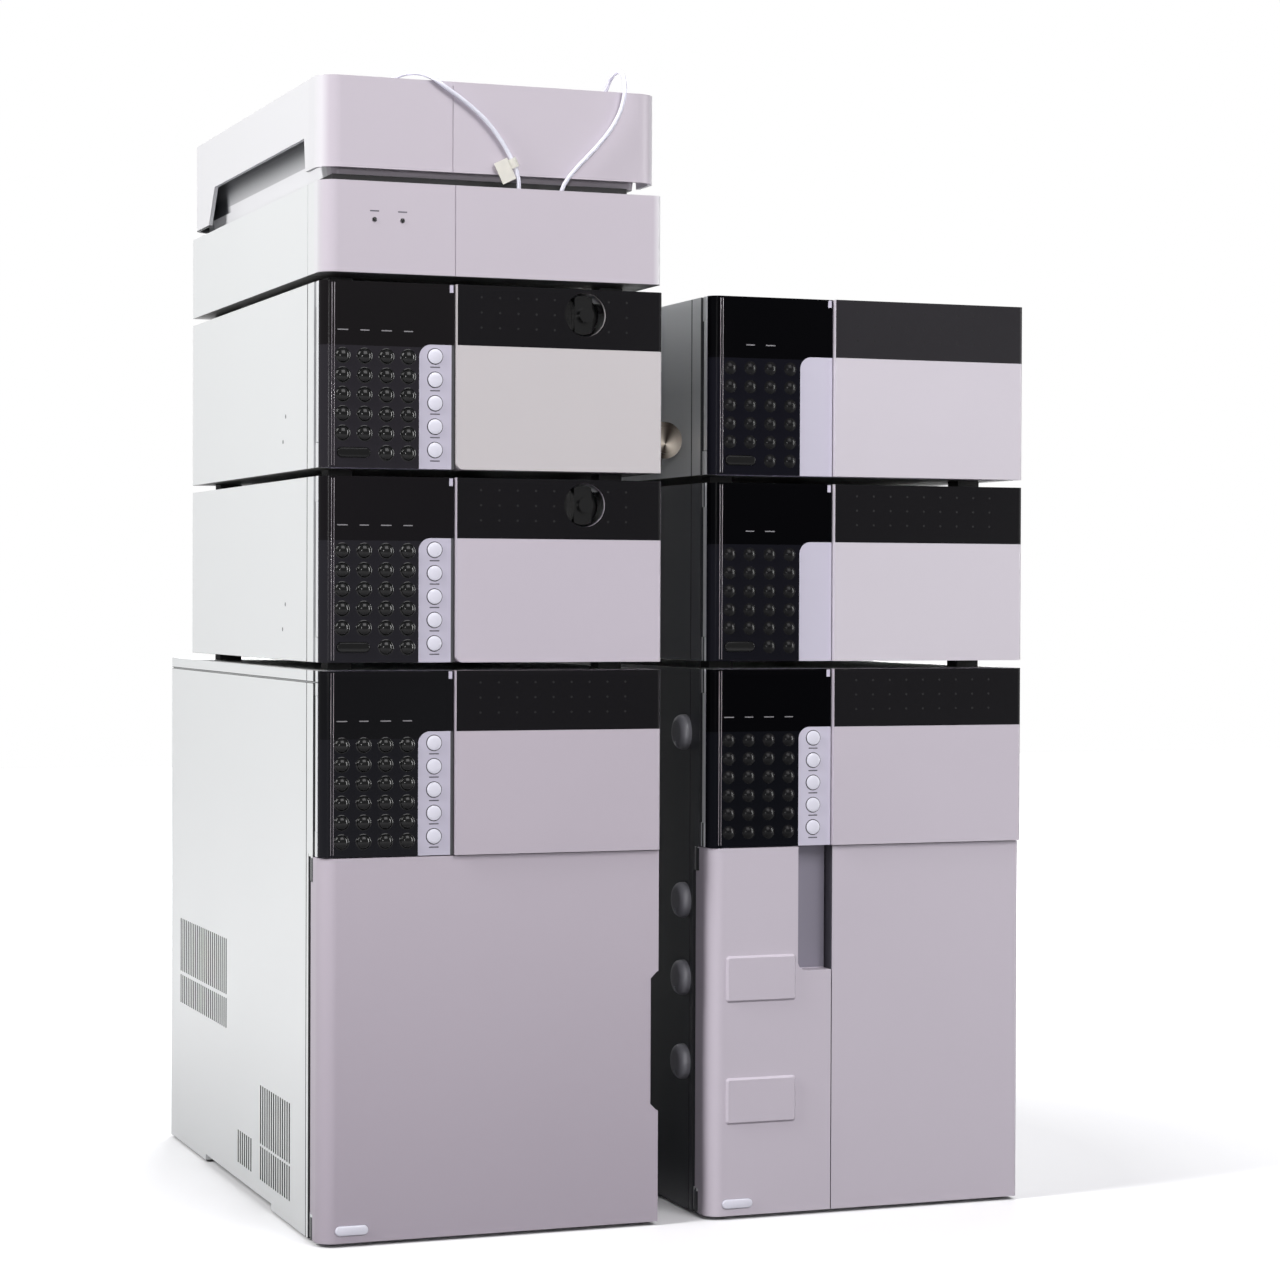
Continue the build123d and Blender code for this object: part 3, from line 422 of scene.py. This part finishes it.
# the lower doors' hinges are dark
brackets = {"x": (-2, 11), "y": (19.5, 31), "levels": ((-22, -1.5), (-279, -262)), "tone": sc(46, 47, 50)}
for name in ("sampler", "oven"):
    for low, high in brackets["levels"]:
        panelTone(materials[f"{name}Paint"], name, (brackets["x"][0], low, brackets["y"][0]),
                  (brackets["x"][1], high, brackets["y"][1]), brackets["tone"])

# painted shade: the sampler's doors darken toward the floor, where less light reaches them; places in m
doorFade = {"low": (-1, -1, -1), "high": (1, 1, 0.3), "tone": sc(160, 151, 163), "edge": (0.1, 0.1, 0.45)}
toneInside(
    materials["samplerShadedPlastic"], doorFade["low"], doorFade["high"], doorFade["tone"], doorFade["edge"])

# painted shade: the finger recess in the oven's left door is darker, and so is the other door's edge beside
# it, which lies in shadow
recess = {
    "low": (73.0, -94.8, 1.2), "high": (101.2, 0.2, 18), "tone": sc(126, 122, 135), "soft": 0.0006,
    "edge": sc(60, 58, 66), "edgeX": (-1, 0.3), "edgeLow": (-300, 0.6), "edgeHigh": (1, 40),
    "edgeSoft": 0.0002,
}
materials["ovenDoor"] = finish("ovenDoor", **finishes["panelPlastic"])
panelTone(materials["ovenDoor"], "oven", recess["low"], recess["high"], recess["tone"], recess["soft"])
materials["ovenRightDoor"] = finish("ovenRightDoor", **finishes["panelPlastic"])
edgeX = (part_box("oven_right_door")[0].x - rightX) / mm
panelTone(materials["ovenRightDoor"], "oven", (edgeX + recess["edgeX"][0], *recess["edgeLow"]),
          (edgeX + recess["edgeX"][1], *recess["edgeHigh"]), recess["edge"], recess["edgeSoft"])

# painted light: the tray and the degasser's front are paler on the side that faces the left, where the
# light falls;
# painted shade makes them dark underneath; places in m: x and the first y from the stack's left front edge,
# the rest in the scene
paintedLightZones = (
    {"low": (-0.05, 0.004), "high": (0.0085, 0.4), "edge": 0.009},
    {"low": (-0.05, 0.035), "high": (0.04, 0.4), "edge": 0.004},
    {"low": (0.2535, -0.2), "high": (0.3, 0.4), "edge": 0.006},
)
mouldings = {
    "pale": sc(228, 228, 231), "paleFrom": 0.6, "under": sc(40, 40, 42), "underLow": 0.001,
    "underHigh": 0.00025, "far": 1,
}
# the tray's side recess gets less light inside; sizes in mm from the lower left front corner of its skirt
recessShades = {
    "hollow": {"low": (3.3, 26, -3), "high": (12.6, 500, 60), "tone": sc(62, 66, 72),
               "edge": (fine, 0.02, 0.036)},
    "rear": {"low": (3.3, 336, -9), "high": (13.2, 500, 32), "tone": sc(48, 50, 54),
             "edge": (fine, 0.012, 0.012)},
}


def shadeUnder(material, node):
    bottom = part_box(node)[0].z
    far = mouldings["far"]
    toneInside(material, (-far, -far, bottom - mouldings["underLow"]),
               (far, far, bottom + mouldings["underHigh"]), mouldings["under"], fine)


def makeMoulding(label, node):
    moulding = finish(label, **finishes["trayPlastic"])
    for zone in paintedLightZones:
        low, high = zone["low"], zone["high"]
        toneInside(moulding, (leftX + low[0], frontY + low[1], mouldings["paleFrom"]),
                   (leftX + high[0], high[1], mouldings["far"]), mouldings["pale"], zone["edge"])
    shadeUnder(moulding, node)
    materials[label] = moulding


makeMoulding("trayMoulding", "reservoir_tray")
makeMoulding("degasserMoulding", "degasser_front")
skirt = Vector((leftX, frontY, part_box("reservoir_tray")[0].z))
for zone in recessShades.values():
    toneInside(materials["trayMoulding"], skirt + Vector(zone["low"]) * mm,
               skirt + Vector(zone["high"]) * mm, zone["tone"], zone["edge"])
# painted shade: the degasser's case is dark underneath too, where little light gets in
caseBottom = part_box("degasser_case")[0].z
far = mouldings["far"]
toneInside(materials["casePaint"], (-far, -far, caseBottom - mouldings["underLow"]),
           (far, far, caseBottom + mouldings["underHigh"]), gaps["under"], fine)

# a node takes the finish of the last ending here that its name has
nodeFinishes = {
    "_case": "casePaint", "_door_band": "bandFilm", "_heads": "headSteel", "mixer": "mixerSteel",
    "oven_columns": "headSteel", "needle_arm": "machinedAluminium", "needle": "headSteel",
    "flow_cell": "machinedAluminium", "heater_block": "machinedAluminium", "drain_knob": "knobPlastic",
    "tube_clips": "clipPlastic", "sampler_rack": "rackPlastic", "rubber_feet": "footRubber",
    "tube_tag": "tagPlastic", "filter_a": "sinteredSteel", "filter_b": "sinteredSteel",
    "reservoir_tray": "trayMoulding", "degasser_front": "degasserMoulding", "power_button": "blackKey",
    "pump_1_door": "neutralPlastic", "sampler_door": "samplerShadedPlastic",
    "sampler_lower_door": "samplerShadedPlastic",
    "detector_door": "upperLitPlastic", "controller_door": "upperLitPlastic",
    "detector_door_band": "greyBandFilm", "oven_left_door": "ovenDoor", "oven_right_door": "ovenRightDoor",
    "sampler_power_button": "lightKey", "oven_power_button": "lightKey",
}


def chosenFinish(name):
    if name.endswith("_keypad_film"):
        return name.replace("_keypad_film", "Film")
    if name.endswith("_keypad_panel"):
        return name.replace("_keypad_panel", "Panel")
    if name.endswith("_case") and name != "degasser_case":
        return name.replace("_case", "Paint")
    chosen = "panelPlastic"
    for ending, label in nodeFinishes.items():
        if name.endswith(ending):
            chosen = label
    return chosen


for name in nodes:
    nodes[name].data.materials.clear()
    nodes[name].data.materials.append(materials[chosenFinish(name)])
print("materials on the CAD nodes")

# two thin tubes from the degasser's ports, over the tray's front rim to its floor; points are in mm from
# the lower left front corner of the degasser, feet included
tubes = {
    "diameter": 0.0032, "feet": 0.006,
    "a": [
        (150, 9.5, 50), (150, 9.5, 56.5), (149.9, 7.2, 64.5), (149.9, 4.7, 72.5), (149.6, 3.9, 79),
        (147.6, 3.2, 86), (142.8, 3.2, 95.8), (136.4, 3.2, 106.2), (128.4, 3.2, 116.4), (118, 3.2, 126.4),
        (105.6, 3.2, 135.4), (93, 3.4, 143.4), (81.6, 5, 151), (71.6, 12, 154), (62.6, 22, 152.6),
        (55, 32, 145), (49, 42, 133), (45, 54, 117), (42.5, 70, 102), (42.5, 90, 91.5),
        (45, 114, 86), (51.5, 142, 85.2), (60, 176, 85.2), (72, 214, 85.2), (93, 248, 85.2),
        (126, 269, 85.2), (161, 271, 85.2), (191, 255, 85.6), (210, 227, 87.4), (216, 200, 88.2),
    ],
    "b": [
        (182, 9.5, 50), (182, 9.5, 57), (182.2, 6.8, 65.5), (183.2, 4.7, 74), (187.6, 3.6, 82),
        (194.8, 3.2, 90.6), (203.6, 3.2, 99.4), (212.4, 3.2, 109), (220.6, 3.2, 119), (227.2, 3.2, 130),
        (231, 3, 141.5), (232.2, 3.2, 152), (232.4, 8, 161), (232, 17, 165.5), (231, 27.5, 164),
        (230, 37, 157), (229, 44, 145), (228, 49, 131), (226, 55, 116), (223, 64, 102),
        (218, 78, 92.5), (211, 98, 87), (200, 121, 85.2), (182, 142, 85.2), (157, 154, 85.2),
        (129, 153, 85.2), (106, 139, 85.2), (94, 115, 85.6), (98, 89, 87.2), (113, 68, 88.2),
    ],
}


def splineLength(curve):
    mesh = bpy.data.meshes.new_from_object(curve)
    points = [v.co.copy() for v in mesh.vertices]
    bpy.data.meshes.remove(mesh)
    return sum((b - a).length for a, b in zip(points, points[1:]))


def suctionTube(letter):
    base = Vector((leftX, frontY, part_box("degasser_case")[0].z - tubes["feet"]))
    route = [base + Vector(point) * mm for point in tubes[letter]]
    curve = bpy.data.curves.new(f"suctionTube{letter.upper()}", "CURVE")
    curve.dimensions = "3D"
    curve.resolution_u = 12
    spline = curve.splines.new("NURBS")
    spline.points.add(len(route) - 1)
    for point, place in zip(spline.points, route):
        point.co = (*place, 1)
    spline.order_u = 3
    spline.use_endpoint_u = True
    tube = bpy.data.objects.new(f"suctionTube{letter.upper()}", curve)
    bpy.context.collection.objects.link(tube)
    long = splineLength(tube)
    curve.bevel_depth = tubes["diameter"] / 2
    curve.bevel_resolution = 4
    curve.materials.append(materials["tubePlastic"])
    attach(tube, "frame")
    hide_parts(f"suction_tube_{letter}")
    print("tube", letter, round(long, 4))


for letter in ("a", "b"):
    suctionTube(letter)


def newPiece(name, built, material, body, sharp=40):
    # a finished bmesh as an object at the origin that rides on a CAD body
    bmesh.ops.remove_doubles(built, verts=built.verts, dist=1e-6)
    bmesh.ops.recalc_face_normals(built, faces=built.faces)
    mesh = bpy.data.meshes.new(name)
    built.to_mesh(mesh)
    built.free()
    for face in mesh.polygons:
        face.use_smooth = True
    mesh.set_sharp_from_angle(angle=radians(sharp))
    mesh.materials.append(materials[material])
    thing = bpy.data.objects.new(name, mesh)
    bpy.context.collection.objects.link(thing)
    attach(thing, body)
    return thing


def spun(built, profile, centre, steps=20, axis=(0, -1, 0)):
    # turns a profile of (radius, height) in mm about an axis through the centre
    axis = Vector(axis)
    out = axis.orthogonal().normalized()
    points = []
    for radius, height in profile:
        points.append(built.verts.new(centre + out * radius * mm + axis * height * mm))
    edges = [built.edges.new(pair) for pair in zip(points, points[1:])]
    bmesh.ops.spin(built, geom=points + edges, cent=centre, axis=axis, angle=2 * pi, steps=steps,
                   use_merge=True)


def addBlock(built, centre, size):
    # a block of a size in mm
    return bmesh.ops.create_cube(built, size=1, matrix=Matrix.Translation(centre) @ Matrix.Diagonal(
        (*[value * mm for value in size], 1)))


def roundedBar(built, centre, size, corner, edge, cornerSteps=6, edgeSteps=3):
    # a bar with rounded ends seen from the front, and a softened front edge; sizes in mm
    made = addBlock(built, centre, size)["verts"]
    edges = [e for e in built.edges if e.verts[0] in made and e.verts[1] in made]
    deep = [e for e in edges if abs((e.verts[0].co - e.verts[1].co).normalized().y) > 0.9]
    bmesh.ops.bevel(built, geom=deep, offset=corner * mm, offset_type="OFFSET", segments=cornerSteps,
                    profile=0.5, affect="EDGES", material=-1)
    front = centre.y - size[1] * mm / 2
    rim = [e for e in built.edges if all(abs(v.co.y - front) < 1e-6 for v in e.verts)
           and all(abs(v.co.x - centre.x) < size[0] * mm for v in e.verts)
           and all(abs(v.co.z - centre.z) < size[2] * mm for v in e.verts)]
    bmesh.ops.bevel(built, geom=rim, offset=edge * mm, offset_type="OFFSET", segments=edgeSteps,
                    profile=0.5, affect="EDGES", material=-1)


# black domed keys, four across
domes = {
    "x": 16.0, "xPitch": 16.3, "z": 80.4, "zPitch": 13.9, "columns": 4, "rows": 6, "radius": 5.1,
    "rise": 2.6, "foot": 1.0, "footBend": (0.3, 0.12), "sunk": -0.05, "lensRise": 1.9, "rings": 10,
    "steps": 24,
}


def domeProfile(name):
    # a tall dome with a small foot, or on the right stack a lower lens
    radius, rise, rings = domes["radius"], domes["rise"], domes["rings"]
    if moduleX[name] == rightX:
        rise = domes["lensRise"]
        curve = (radius ** 2 + rise ** 2) / (2 * rise)
        crown = [(radius * ring / rings, (curve ** 2 - (radius * ring / rings) ** 2) ** 0.5 - curve + rise)
                 for ring in range(rings + 1)]
        return crown + [(radius, domes["sunk"])]
    crown = []
    for ring in range(rings):
        turn = ring * pi / (2 * rings)
        crown.append((radius * sin(turn), rise * cos(turn)))
    share, height = domes["footBend"]
    return crown + [(radius + domes["foot"] * share, height), (radius + domes["foot"], domes["sunk"])]


def domeKeys(name):
    built = bmesh.new()
    # a low module has its power button in the place of the last row's first two keys
    low = name not in ("sampler", "oven")
    for row in range(domes["rows"]):
        for column in range(domes["columns"]):
            if low and row == domes["rows"] - 1 and column < 2:
                continue
            x = domes["x"] + column * domes["xPitch"]
            z = domes["z"] - row * domes["zPitch"]
            spun(built, domeProfile(name), panelPlace(name, x, z), steps=domes["steps"])
    finishName = "dimKey" if moduleX[name] == rightX else "blackKey"
    newPiece(f"{name}DomeKeys", built, finishName, f"{name}_panel")


# short plain bars, in the place of printed words
bars = {"proud": 0.06, "edge": 0.02, "cornerSteps": 4, "edgeSteps": 1, "cornerShare": 2.2}


def plainBar(built, centre, wide, tall):
    roundedBar(built, centre, (wide, 2 * bars["proud"], tall), tall / bars["cornerShare"], bars["edge"],
               bars["cornerSteps"], bars["edgeSteps"])


# light round keys on the strip, each in a dark ring; a profile row is a share of the radius and a drop
lightKeys = {
    "x": 85.0, "z": 13.8, "pitch": 16.95, "count": 5, "radius": 5.3, "rise": 1.35, "from": 0.2, "steps": 32,
    "profile": ((0, 0), (0.5, 0.06), (0.85, 0.22), (1, 0.45)), "ring": (5.4, 6.0), "ringProud": 0.12,
    "ringSunk": -0.1, "mark": (7.5, 0.95), "markDrop": 7.9,
}


def stripKeys(name):
    keys = bmesh.new()
    rings = bmesh.new()
    marks = bmesh.new()
    radius, steps = lightKeys["radius"], lightKeys["steps"]
    inner, outer = lightKeys["ring"]
    sunk, proud = lightKeys["ringSunk"], lightKeys["ringProud"]
    keyProfile = [(radius * share, lightKeys["rise"] - drop) for share, drop in lightKeys["profile"]]
    keyProfile.append((radius, lightKeys["from"]))
    for count in range(lightKeys["count"]):
        z = lightKeys["z"] + count * lightKeys["pitch"]
        centre = panelPlace(name, lightKeys["x"], z)
        spun(keys, keyProfile, centre, steps)
        spun(rings, [(inner, sunk), (inner, proud), (outer, proud), (outer, sunk)], centre, steps)
        plainBar(marks, panelPlace(name, lightKeys["x"], z - lightKeys["markDrop"]), *lightKeys["mark"])
    newPiece(f"{name}KeyMarks", marks, "printedMark", f"{name}_panel")
    newPiece(f"{name}LightKeys", keys, "lightKey", f"{name}_panel")
    newPiece(f"{name}KeyRings", rings, "keyRing", f"{name}_panel")


# the bars over the key columns; every second one is shorter
legends = {"z": 97.8, "pumpZ": 98.9, "wide": 8.0, "shorter": 1, "tall": 0.8,
           "columns": {"detector": (1, 2), "controller": (1, 2)}}


def displayMarks(name):
    built = bmesh.new()
    z = legends["pumpZ" if name.startswith("pump") else "z"]
    for column in legends["columns"].get(name, range(domes["columns"])):
        x = domes["x"] + column * domes["xPitch"]
        plainBar(built, panelPlace(name, x, z), legends["wide"] - column % 2 * legends["shorter"],
                 legends["tall"])
    newPiece(f"{name}DisplayMarks", built, "paleMark", f"{name}_panel")


# rows of small dimples in the door's dark band
dimples = {
    "x": 119.1, "xPitch": 14.05, "z": 125.3, "zPitch": 11.0, "columns": 9, "rows": 3, "front": -3.5,
    "profile": ((0.9, -0.02), (0.75, 0.1), (0.4, 0.04), (0, 0.02)), "steps": 12,
    # the middle and the radius of the knob's place, which stays free
    "knob": (199.3, 115.5, 18.5),
}


def bandDimples(name, body):
    built = bmesh.new()
    knobX, knobZ, clear = dimples["knob"]
    for row in range(dimples["rows"]):
        for column in range(dimples["columns"]):
            x = dimples["x"] + column * dimples["xPitch"]
            z = dimples["z"] - row * dimples["zPitch"]
            if name.startswith("pump") and (x - knobX) ** 2 + (z - knobZ) ** 2 < clear ** 2:
                continue
            spun(built, dimples["profile"], panelPlace(name, x, z, dimples["front"]), dimples["steps"])
    newPiece(f"{name}Dimples", built, "dimple", body)


# two fine upright ridges where the film meets its frame, light grey as a painted reflection
ridges = {"x": (7.9, 9.8), "z": 67, "width": 0.55, "proud": 0.3, "height": 131.0, "corner": 0.1,
          "edge": 0.12, "cornerSteps": 1, "edgeSteps": 2}


def filmRidges(name):
    built = bmesh.new()
    for x in ridges["x"]:
        roundedBar(built, panelPlace(name, x, ridges["z"]),
                   (ridges["width"], ridges["proud"] * 2, ridges["height"]), ridges["corner"],
                   ridges["edge"], ridges["cornerSteps"], ridges["edgeSteps"])
    newPiece(f"{name}Ridges", built, "filmRidge", f"{name}_panel")


doorBodies = {name: f"{name}_front_door" for name in ("pump_1", "pump_2", "detector", "sampler")}
for name in moduleX:
    domeKeys(name)
    if name not in ("detector", "controller"):
        stripKeys(name)
    displayMarks(name)
    bandDimples(name, doorBodies.get(name, "frame"))
    filmRidges(name)
print("keys, rings, dimples and ridges")

# domed caps on the power buttons
caps = {"width": 24.0, "height": 6.5, "proud": 0.7, "sunk": 0.1, "cornerLess": 0.05, "edge": 0.45,
        "cornerSteps": 8, "edgeSteps": 3}


def buttonCap(name):
    low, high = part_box(f"{name}_power_button")
    middle = (low + high) / 2
    built = bmesh.new()
    centre = Vector((middle.x, low.y + caps["sunk"] * mm, middle.z))
    roundedBar(built, centre, (caps["width"], caps["proud"] * 2, caps["height"]),
               caps["height"] / 2 - caps["cornerLess"], caps["edge"], caps["cornerSteps"],
               caps["edgeSteps"])
    light = name in ("sampler", "oven")
    newPiece(f"{name}ButtonCap", built, "lightKey" if light else "blackKey", f"{name}_button")


for name in moduleX:
    buttonCap(name)
print("button caps")

# dark indicator lenses on the degasser's front
lamps = {
    "x": (39.3, 60.2), "z": 38.5, "mark": (7.0, 1.0), "markLift": 6.2, "steps": 24,
    "profile": ((0, 0.75), (0.9, 0.7), (1.6, 0.45), (1.9, 0.1), (1.9, -0.3)),
}


def lampLenses():
    built = bmesh.new()
    marks = bmesh.new()
    corner = Vector((leftX, frontY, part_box("degasser_front")[0].z))
    for x in lamps["x"]:
        spun(built, lamps["profile"], corner + Vector((x, 0, lamps["z"])) * mm, lamps["steps"])
        plainBar(marks, corner + Vector((x, 0, lamps["z"] + lamps["markLift"])) * mm, *lamps["mark"])
    newPiece("degasserLamps", built, "lampLens", "frame")
    newPiece("degasserMarks", marks, "printedMark", "frame")


lampLenses()

# two small pan-head screws low on each pump's left side
screws = {
    "places": ((102.6, 41.5), (110.5, 22.8)), "steps": 16,
    "profile": ((0, 0.15), (1.3, 0.12), (1.6, 0.0), (1.6, -0.3)),
}


def sideScrews(name):
    built = bmesh.new()
    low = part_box(f"{name}_case")[0]
    for y, z in screws["places"]:
        centre = Vector((low.x, frontY + y * mm, low.z + z * mm))
        spun(built, screws["profile"], centre, screws["steps"], axis=(-1, 0, 0))
    newPiece(f"{name}SideScrews", built, "screwSteel", "frame")


for name in ("pump_1", "pump_2"):
    sideScrews(name)

# mains inlets in the pockets at the back, each with three flat pins; the middle is from the case's lower
# left rear edge, and the depths are from its back
inlets = {
    "middle": (42, 23), "shell": (27.4, 13.0, 21.4), "shellDeep": 7, "rim": 2.2, "well": 10,
    "pins": ((-7, -1), (7, -1), (0, 4.5)), "pin": (2.0, 9.0, 5.0), "pinDeep": 8,
}


def mainsInlet(name):
    low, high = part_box(name)
    middle = Vector((low.x + inlets["middle"][0] * mm, high.y, low.z + inlets["middle"][1] * mm))
    shell = bmesh.new()
    addBlock(shell, middle - Vector((0, inlets["shellDeep"], 0)) * mm, inlets["shell"])
    back = [face for face in shell.faces if face.normal.y > 0.9]
    bmesh.ops.inset_region(shell, faces=back, thickness=inlets["rim"] * mm, depth=0)
    floor = bmesh.ops.extrude_face_region(shell, geom=back)
    moved = [v for v in floor["geom"] if isinstance(v, bmesh.types.BMVert)]
    bmesh.ops.translate(shell, verts=moved, vec=(0, -inlets["well"] * mm, 0))
    bmesh.ops.delete(shell, geom=back, context="FACES")
    newPiece(f"{name}Inlet", shell, "socketPlastic", "frame")
    pins = bmesh.new()
    for x, z in inlets["pins"]:
        addBlock(pins, middle + Vector((x, -inlets["pinDeep"], z)) * mm, inlets["pin"])
    newPiece(f"{name}InletPins", pins, "headSteel", "frame")


for name in (*[f"{module}_case" for module in moduleX], "degasser_case"):
    mainsInlet(name)
print("lamps and inlets")


def makeLamp(name, place, aim, size, power, colour):
    data = bpy.data.lights.new(name, "AREA")
    data.shape = "RECTANGLE"
    data.size, data.size_y = size
    data.energy = power
    data.color = colour
    lamp = bpy.data.objects.new(name, data)
    bpy.context.collection.objects.link(lamp)
    lamp.location = place
    lamp.rotation_euler = (Vector(aim) - Vector(place)).to_track_quat("-Z", "Y").to_euler()


# the world's own light, and a floor that turns white away from the object; sizes in m
studio = {
    "soft": (0.97, 0.98, 1.0, 1), "softPower": 0.15, "floorHalf": 6, "floor": sc(240, 240, 242),
    "bounced": sc(70, 70, 72), "whiteFrom": 0.45, "whiteOver": 0.9, "whitePower": 0.9,
}


def seenRays(tree):
    # 1 for what the camera, gloss and glass see, and 0 for soft light
    path = tree.nodes.new("ShaderNodeLightPath")
    seen = nodeMath(tree, "MAXIMUM", path.outputs["Is Camera Ray"], path.outputs["Is Transmission Ray"])
    return nodeMath(tree, "MAXIMUM", seen, path.outputs["Is Glossy Ray"])


def background(tree, colour, power):
    shown = tree.nodes.new("ShaderNodeBackground")
    shown.inputs["Color"].default_value = colour
    shown.inputs["Strength"].default_value = power
    return shown.outputs[0]


def makeWorld():
    # a white backdrop where it is seen, and a weak soft light elsewhere
    world = bpy.data.worlds.new("studio")
    bpy.context.scene.world = world
    world.use_nodes = True
    tree = world.node_tree
    tree.nodes.clear()
    mix = tree.nodes.new("ShaderNodeMixShader")
    tree.links.new(seenRays(tree), mix.inputs[0])
    tree.links.new(background(tree, studio["soft"], studio["softPower"]), mix.inputs[1])
    tree.links.new(background(tree, (1, 1, 1, 1), 1.0), mix.inputs[2])
    out = tree.nodes.new("ShaderNodeOutputWorld")
    tree.links.new(mix.outputs[0], out.inputs[0])


def floorGlow(tree, seen):
    # how much the floor glows: from nothing near the object to full further away, where it is seen
    distance = tree.nodes.new("ShaderNodeVectorMath")
    distance.operation = "LENGTH"
    tree.links.new(objectPoint(tree), distance.inputs[0])
    away = nodeMath(tree, "SUBTRACT", distance.outputs["Value"], studio["whiteFrom"])
    away = kept01(tree, nodeMath(tree, "DIVIDE", away, studio["whiteOver"]))
    glow = tree.nodes.new("ShaderNodeMix")
    glow.data_type = "RGBA"
    glow.inputs["A"].default_value = (0, 0, 0, 1)
    glow.inputs["B"].default_value = (1, 1, 1, 1)
    tree.links.new(nodeMath(tree, "MULTIPLY", away, seen), glow.inputs["Factor"])
    return glow.outputs["Result"]


def makeFloor():
    built = bmesh.new()
    bmesh.ops.create_grid(built, x_segments=1, y_segments=1, size=studio["floorHalf"])
    mesh = bpy.data.meshes.new("floor")
    built.to_mesh(mesh)
    built.free()
    floor = bpy.data.objects.new("floor", mesh)
    bpy.context.collection.objects.link(floor)
    paint = finish("floorPaint", studio["floor"], 0.7, 300, 0.02, 0.02, gloss=0.1)
    tree = paint.node_tree
    shader = tree.nodes["Principled BSDF"]
    # the floor throws little soft light back on the object
    seen = seenRays(tree)
    tone = shader.inputs["Base Color"].links[0].from_socket
    bounced = nodeMath(tree, "SUBTRACT", 1.0, seen)
    tree.links.new(blendTones(tree, bounced, tone, studio["bounced"]), shader.inputs["Base Color"])
    tree.links.new(floorGlow(tree, seen), shader.inputs["Emission Color"])
    shader.inputs["Emission Strength"].default_value = studio["whitePower"]
    mesh.materials.append(paint)


# place, aim, size, power and colour of each lamp
lights = {
    "key": ((-2.95, -0.62, 2.5), (0, 0, 0.45), (0.7, 1.9), 116, (1.0, 0.997, 0.99)),
    "front": ((0.5, -2.8, 2.4), (0, 0, 0.5), (1.8, 1.8), 76, (1.0, 0.985, 1.0)),
    "fill": ((-1.3, -3.5, 0.75), (0, 0, 0.45), (0.3, 0.4), 21, (1.0, 0.99, 1.0)),
    "glint": ((2.5, -1.6, 0.9), (0, 0, 0.5), (0.3, 1.8), 80, (1, 1, 1)),
    "back": ((1.1, 2.9, 1.4), (0, 0, 0.4), (1.4, 1.4), 55, (1, 1, 1)),
    "top": ((0.2, 0.6, 3.0), (0, 0, 0.5), (2.0, 2.0), 22, (1, 1, 1)),
}
makeWorld()
makeFloor()
for name, values in lights.items():
    makeLamp(name, *values)
# the glint lamp shows in the keys and knobs only, and gives no soft light
bpy.data.objects["glint"].visible_diffuse = False
print("light and floor")
